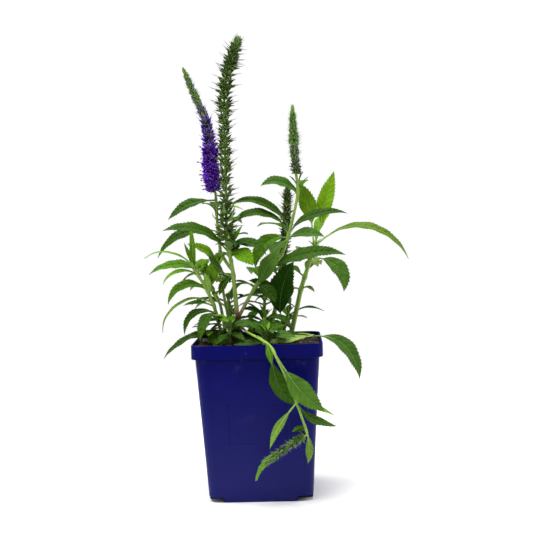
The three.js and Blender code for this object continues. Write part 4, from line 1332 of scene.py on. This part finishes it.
def buildPot():
    shape = potShape
    ledge = shape["height"] - shape["rimHeight"]
    innerFloor = shape["cornerLift"] + shape["wall"]
    pot = roundedSquare(shape["footHalf"], 0, shape["corner"], 8)
    pot.name = "pot_shell"
    neckInner, rimInner = shape["neckHalf"] - shape["wall"], shape["rimHalf"] - shape["wall"]
    extrudeTo(ledge, shape["neckHalf"] / shape["footHalf"])
    extrudeTo(0, shape["rimHalf"] / shape["neckHalf"])
    extrudeTo(shape["rimHeight"], 1)
    extrudeTo(0, rimInner / shape["rimHalf"])
    extrudeTo(shape["wall"] - shape["rimHeight"], 1)
    extrudeTo(0, neckInner / rimInner)
    extrudeTo(innerFloor - ledge - shape["wall"], (shape["footHalf"] - shape["wall"]) / neckInner)
    closeShell()
    softenEdges(pot, shape["edgeRound"], 2)
    near, skew = shape["skirtInnerHalf"], shape["skirtHalf"] - shape["skirtInnerHalf"]
    far, lift, over = 0.06, shape["cornerLift"], 0.002
    cutters, drains = [], []
    for sx, sy in ((1, 1), (-1, 1), (-1, -1), (1, -1)):
        middle = (near + far) / 2
        cutter = placeCube((far - near, far - near, lift + over),
                           (sx * middle, sy * middle, (lift - over) / 2))
        moveCorners(cutter, lambda p: abs(p.x) < near + 0.001 and abs(p.y) > far - 0.001, (sx * skew, 0, 0))
        moveCorners(cutter, lambda p: abs(p.y) < near + 0.001 and abs(p.x) > far - 0.001, (0, sy * skew, 0))
        cutters.append(cutter)
        bpy.ops.mesh.primitive_cylinder_add(
            vertices=28, radius=shape["drainRadius"], depth=4 * shape["wall"],
            location=(sx * shape["drainAt"], sy * shape["drainAt"], lift + shape["wall"] / 2))
        drains.append(bpy.context.object)
    cutWith(pot, cutters)
    cutWith(pot, drains)
    # a plain shallow panel on the front wall, which leans outwards
    slope = math.atan2(shape["neckHalf"] - shape["footHalf"], ledge)
    wallY = -(shape["footHalf"] + math.tan(slope) * shape["panelAt"])
    panel = placeCube((2 * shape["panelHalfWidth"], 2 * over, 2 * shape["panelHalfHeight"]),
                      (0, wallY - over + shape["panelDepth"], shape["panelAt"]), (slope, 0, 0))
    softenEdges(panel, shape["panelRound"], 3)
    cutWith(pot, [panel])
    pot.data.materials.clear()
    pot.data.materials.append(plasticMaterial())
    selectOnly(pot)
    bpy.ops.object.transform_apply(location=True, rotation=True, scale=True)
    bpy.ops.object.shade_smooth_by_angle(angle=rad(32))
    applyModifier(pot, "WEIGHTED_NORMAL", keep_sharp=True, weight=80)
    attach(pot, "root")
    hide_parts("pot")


buildPot()
print("pot is made")


soilShape = {
    "level": 0.1345, "depth": 0.1263, "gap": 0.0003, "cells": 72, "slabSize": 0.13, "spare": 0.02,
    "bump": 0.0022, "bumpScale": 55, "fineBump": 0.0007, "fineScale": 260, "sunk": 0.0006,
    "moundAt": (-0.05, -0.036), "moundRise": 0.0025, "moundReach": 0.028,
    "crumbs": 1150, "crumbSizes": (0.6, 2.0), "crumbMargin": 2.2, "crumbCorner": 7, "crumbSeed": 41,
    "crumbKinds": (0, 0, 0, 1, 1, 2), "crumbLift": 0.15, "stemRoom": 1.0, "fibre": (2.2, 0.5, 0.5),
}
soilTones = (
    ("peat", (32, 26, 20), 0.92, {"deep": 0.5, "blotch": 260, "grain": 2200, "bump": 0.9, "amount": 0.9}),
    ("peatBrown", (66, 46, 32), 0.9, {"deep": 0.55, "blotch": 400, "grain": 2200, "bump": 0.8}),
    ("peatFibre", (156, 124, 92), 0.85, {"deep": 0.6, "blotch": 500, "grain": 2600, "bump": 0.6}),
)
soilFinish = [livingMaterial(name, linear(*shade), rough, **look) for name, shade, rough, look in soilTones]


def soilHeight(x, y):
    # heaps and hollows, in metres
    broad, fine = (
        noise.noise(Vector((x * soilShape[scale], y * soilShape[scale], layer)))
        for scale, layer in (("bumpScale", 3.1), ("fineScale", 7.7))
    )
    apart = math.dist((x, y), soilShape["moundAt"]) / soilShape["moundReach"]
    mound = soilShape["moundRise"] * math.exp(-apart * apart)
    level = soilShape["level"] + soilShape["bump"] * broad + soilShape["fineBump"] * fine
    return level + mound - soilShape["sunk"]


def buildSoil():
    shape = potShape
    ledge = shape["height"] - shape["rimHeight"]
    inset = shape["wall"] + soilShape["gap"]
    rimHalf, neckHalf, footHalf = (shape[key] - inset for key in ("rimHalf", "neckHalf", "footHalf"))
    bottom = shape["cornerLift"] + inset
    # the block that fills the pot: a rounded square, extruded up its taper and over the ledge
    block = roundedSquare(footHalf, bottom, shape["corner"] - inset, 6)
    extrudeTo(ledge + inset - bottom, neckHalf / footHalf)
    extrudeTo(0, rimHalf / neckHalf)
    extrudeTo(soilShape["spare"], 1)
    closeShell()
    # a finely cut slab with a rough top, kept where it lies inside the block
    bpy.ops.mesh.primitive_grid_add(x_subdivisions=soilShape["cells"], y_subdivisions=soilShape["cells"],
                                    size=soilShape["slabSize"], location=(0, 0, soilShape["level"]))
    soil = bpy.context.object
    soil.name = "potting_mix"
    for vertex in soil.data.vertices:
        place = soil.matrix_world @ vertex.co
        vertex.co.z = soilHeight(place.x, place.y) - soilShape["level"]
    startEdit(soil)
    bpy.ops.mesh.select_all(action="SELECT")
    extrudeTo(-soilShape["depth"] - soilShape["spare"], 1)
    closeShell()
    applyModifier(soil, "BOOLEAN", operation="INTERSECT", object=block, solver="EXACT")
    bpy.data.objects.remove(block)
    soil.data.materials.clear()
    soil.data.materials.append(soilFinish[0])
    bpy.ops.object.transform_apply(location=True, rotation=True, scale=True)
    bpy.ops.object.shade_smooth_by_angle(angle=rad(40))
    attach(soil, "root")
    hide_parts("soil")


def crumbForm(chance):
    # a rough crumb: an icosahedron with its corners pushed about
    golden = (1 + 5 ** 0.5) / 2
    signs = [(way, side) for way in (1, -1) for side in (-1, 1)]
    corners = [(side, way * golden, 0) for way, side in signs]
    corners += [(0, side, way * golden) for way, side in signs]
    corners += [(way * golden, 0, side) for way, side in signs]
    faces = [
        (0, 11, 5), (0, 5, 1), (0, 1, 7), (0, 7, 10), (0, 10, 11), (1, 5, 9), (5, 11, 4), (11, 10, 2),
        (10, 7, 6), (7, 1, 8), (3, 9, 4), (3, 4, 2), (3, 2, 6), (3, 6, 8), (3, 8, 9), (4, 9, 5), (2, 4, 11),
        (6, 2, 10), (8, 6, 7), (9, 8, 1),
    ]
    points = np.array(corners, float) / 1.9
    points *= np.array([[chance.uniform(0.7, 1.3)] * 3 for _ in corners])
    stretch = [chance.uniform(low, high) for low, high in ((0.7, 1.5), (0.7, 1.2), (0.5, 0.9))]
    return points * np.array(stretch), faces


def buildCrumbs():
    chance = random.Random(soilShape["crumbSeed"])
    half = (potShape["rimHalf"] - potShape["wall"]) / mm - soilShape["crumbMargin"]
    corner = soilShape["crumbCorner"]
    rooted = [shoot for shoot in shoots if "foot" in shoot]
    stems = [(shoot["start"][:2], stemRadius(shoot, 0) + soilShape["stemRoom"]) for shoot in rooted]
    patches = []
    for _ in range(soilShape["crumbs"]):
        x, y = chance.uniform(-half, half), chance.uniform(-half, half)
        size = chance.uniform(*soilShape["crumbSizes"]) * chance.uniform(0.5, 1)
        kind = chance.choice(soilShape["crumbKinds"])
        points, faces = crumbForm(chance)
        if kind == 2:
            points = points * np.array(soilShape["fibre"])
        turn = chance.uniform(0, 2 * math.pi)
        if math.hypot(max(abs(x) - half + corner, 0), max(abs(y) - half + corner, 0)) > corner:
            continue
        if any(math.hypot(x - foot[0], y - foot[1]) < clear + size for foot, clear in stems):
            continue
        level = soilHeight(x * mm, y * mm) / mm + size * soilShape["crumbLift"]
        placed = turnedAbout((points * size, faces), turn, (x, y, level))
        patches.append((placed[0], faces, [kind] * len(faces)))
    joinedMesh("soil_crumbs", patches, soilFinish, "soil", ("soil",), sharpness=30)


buildSoil()
buildCrumbs()
print("soil is laid")
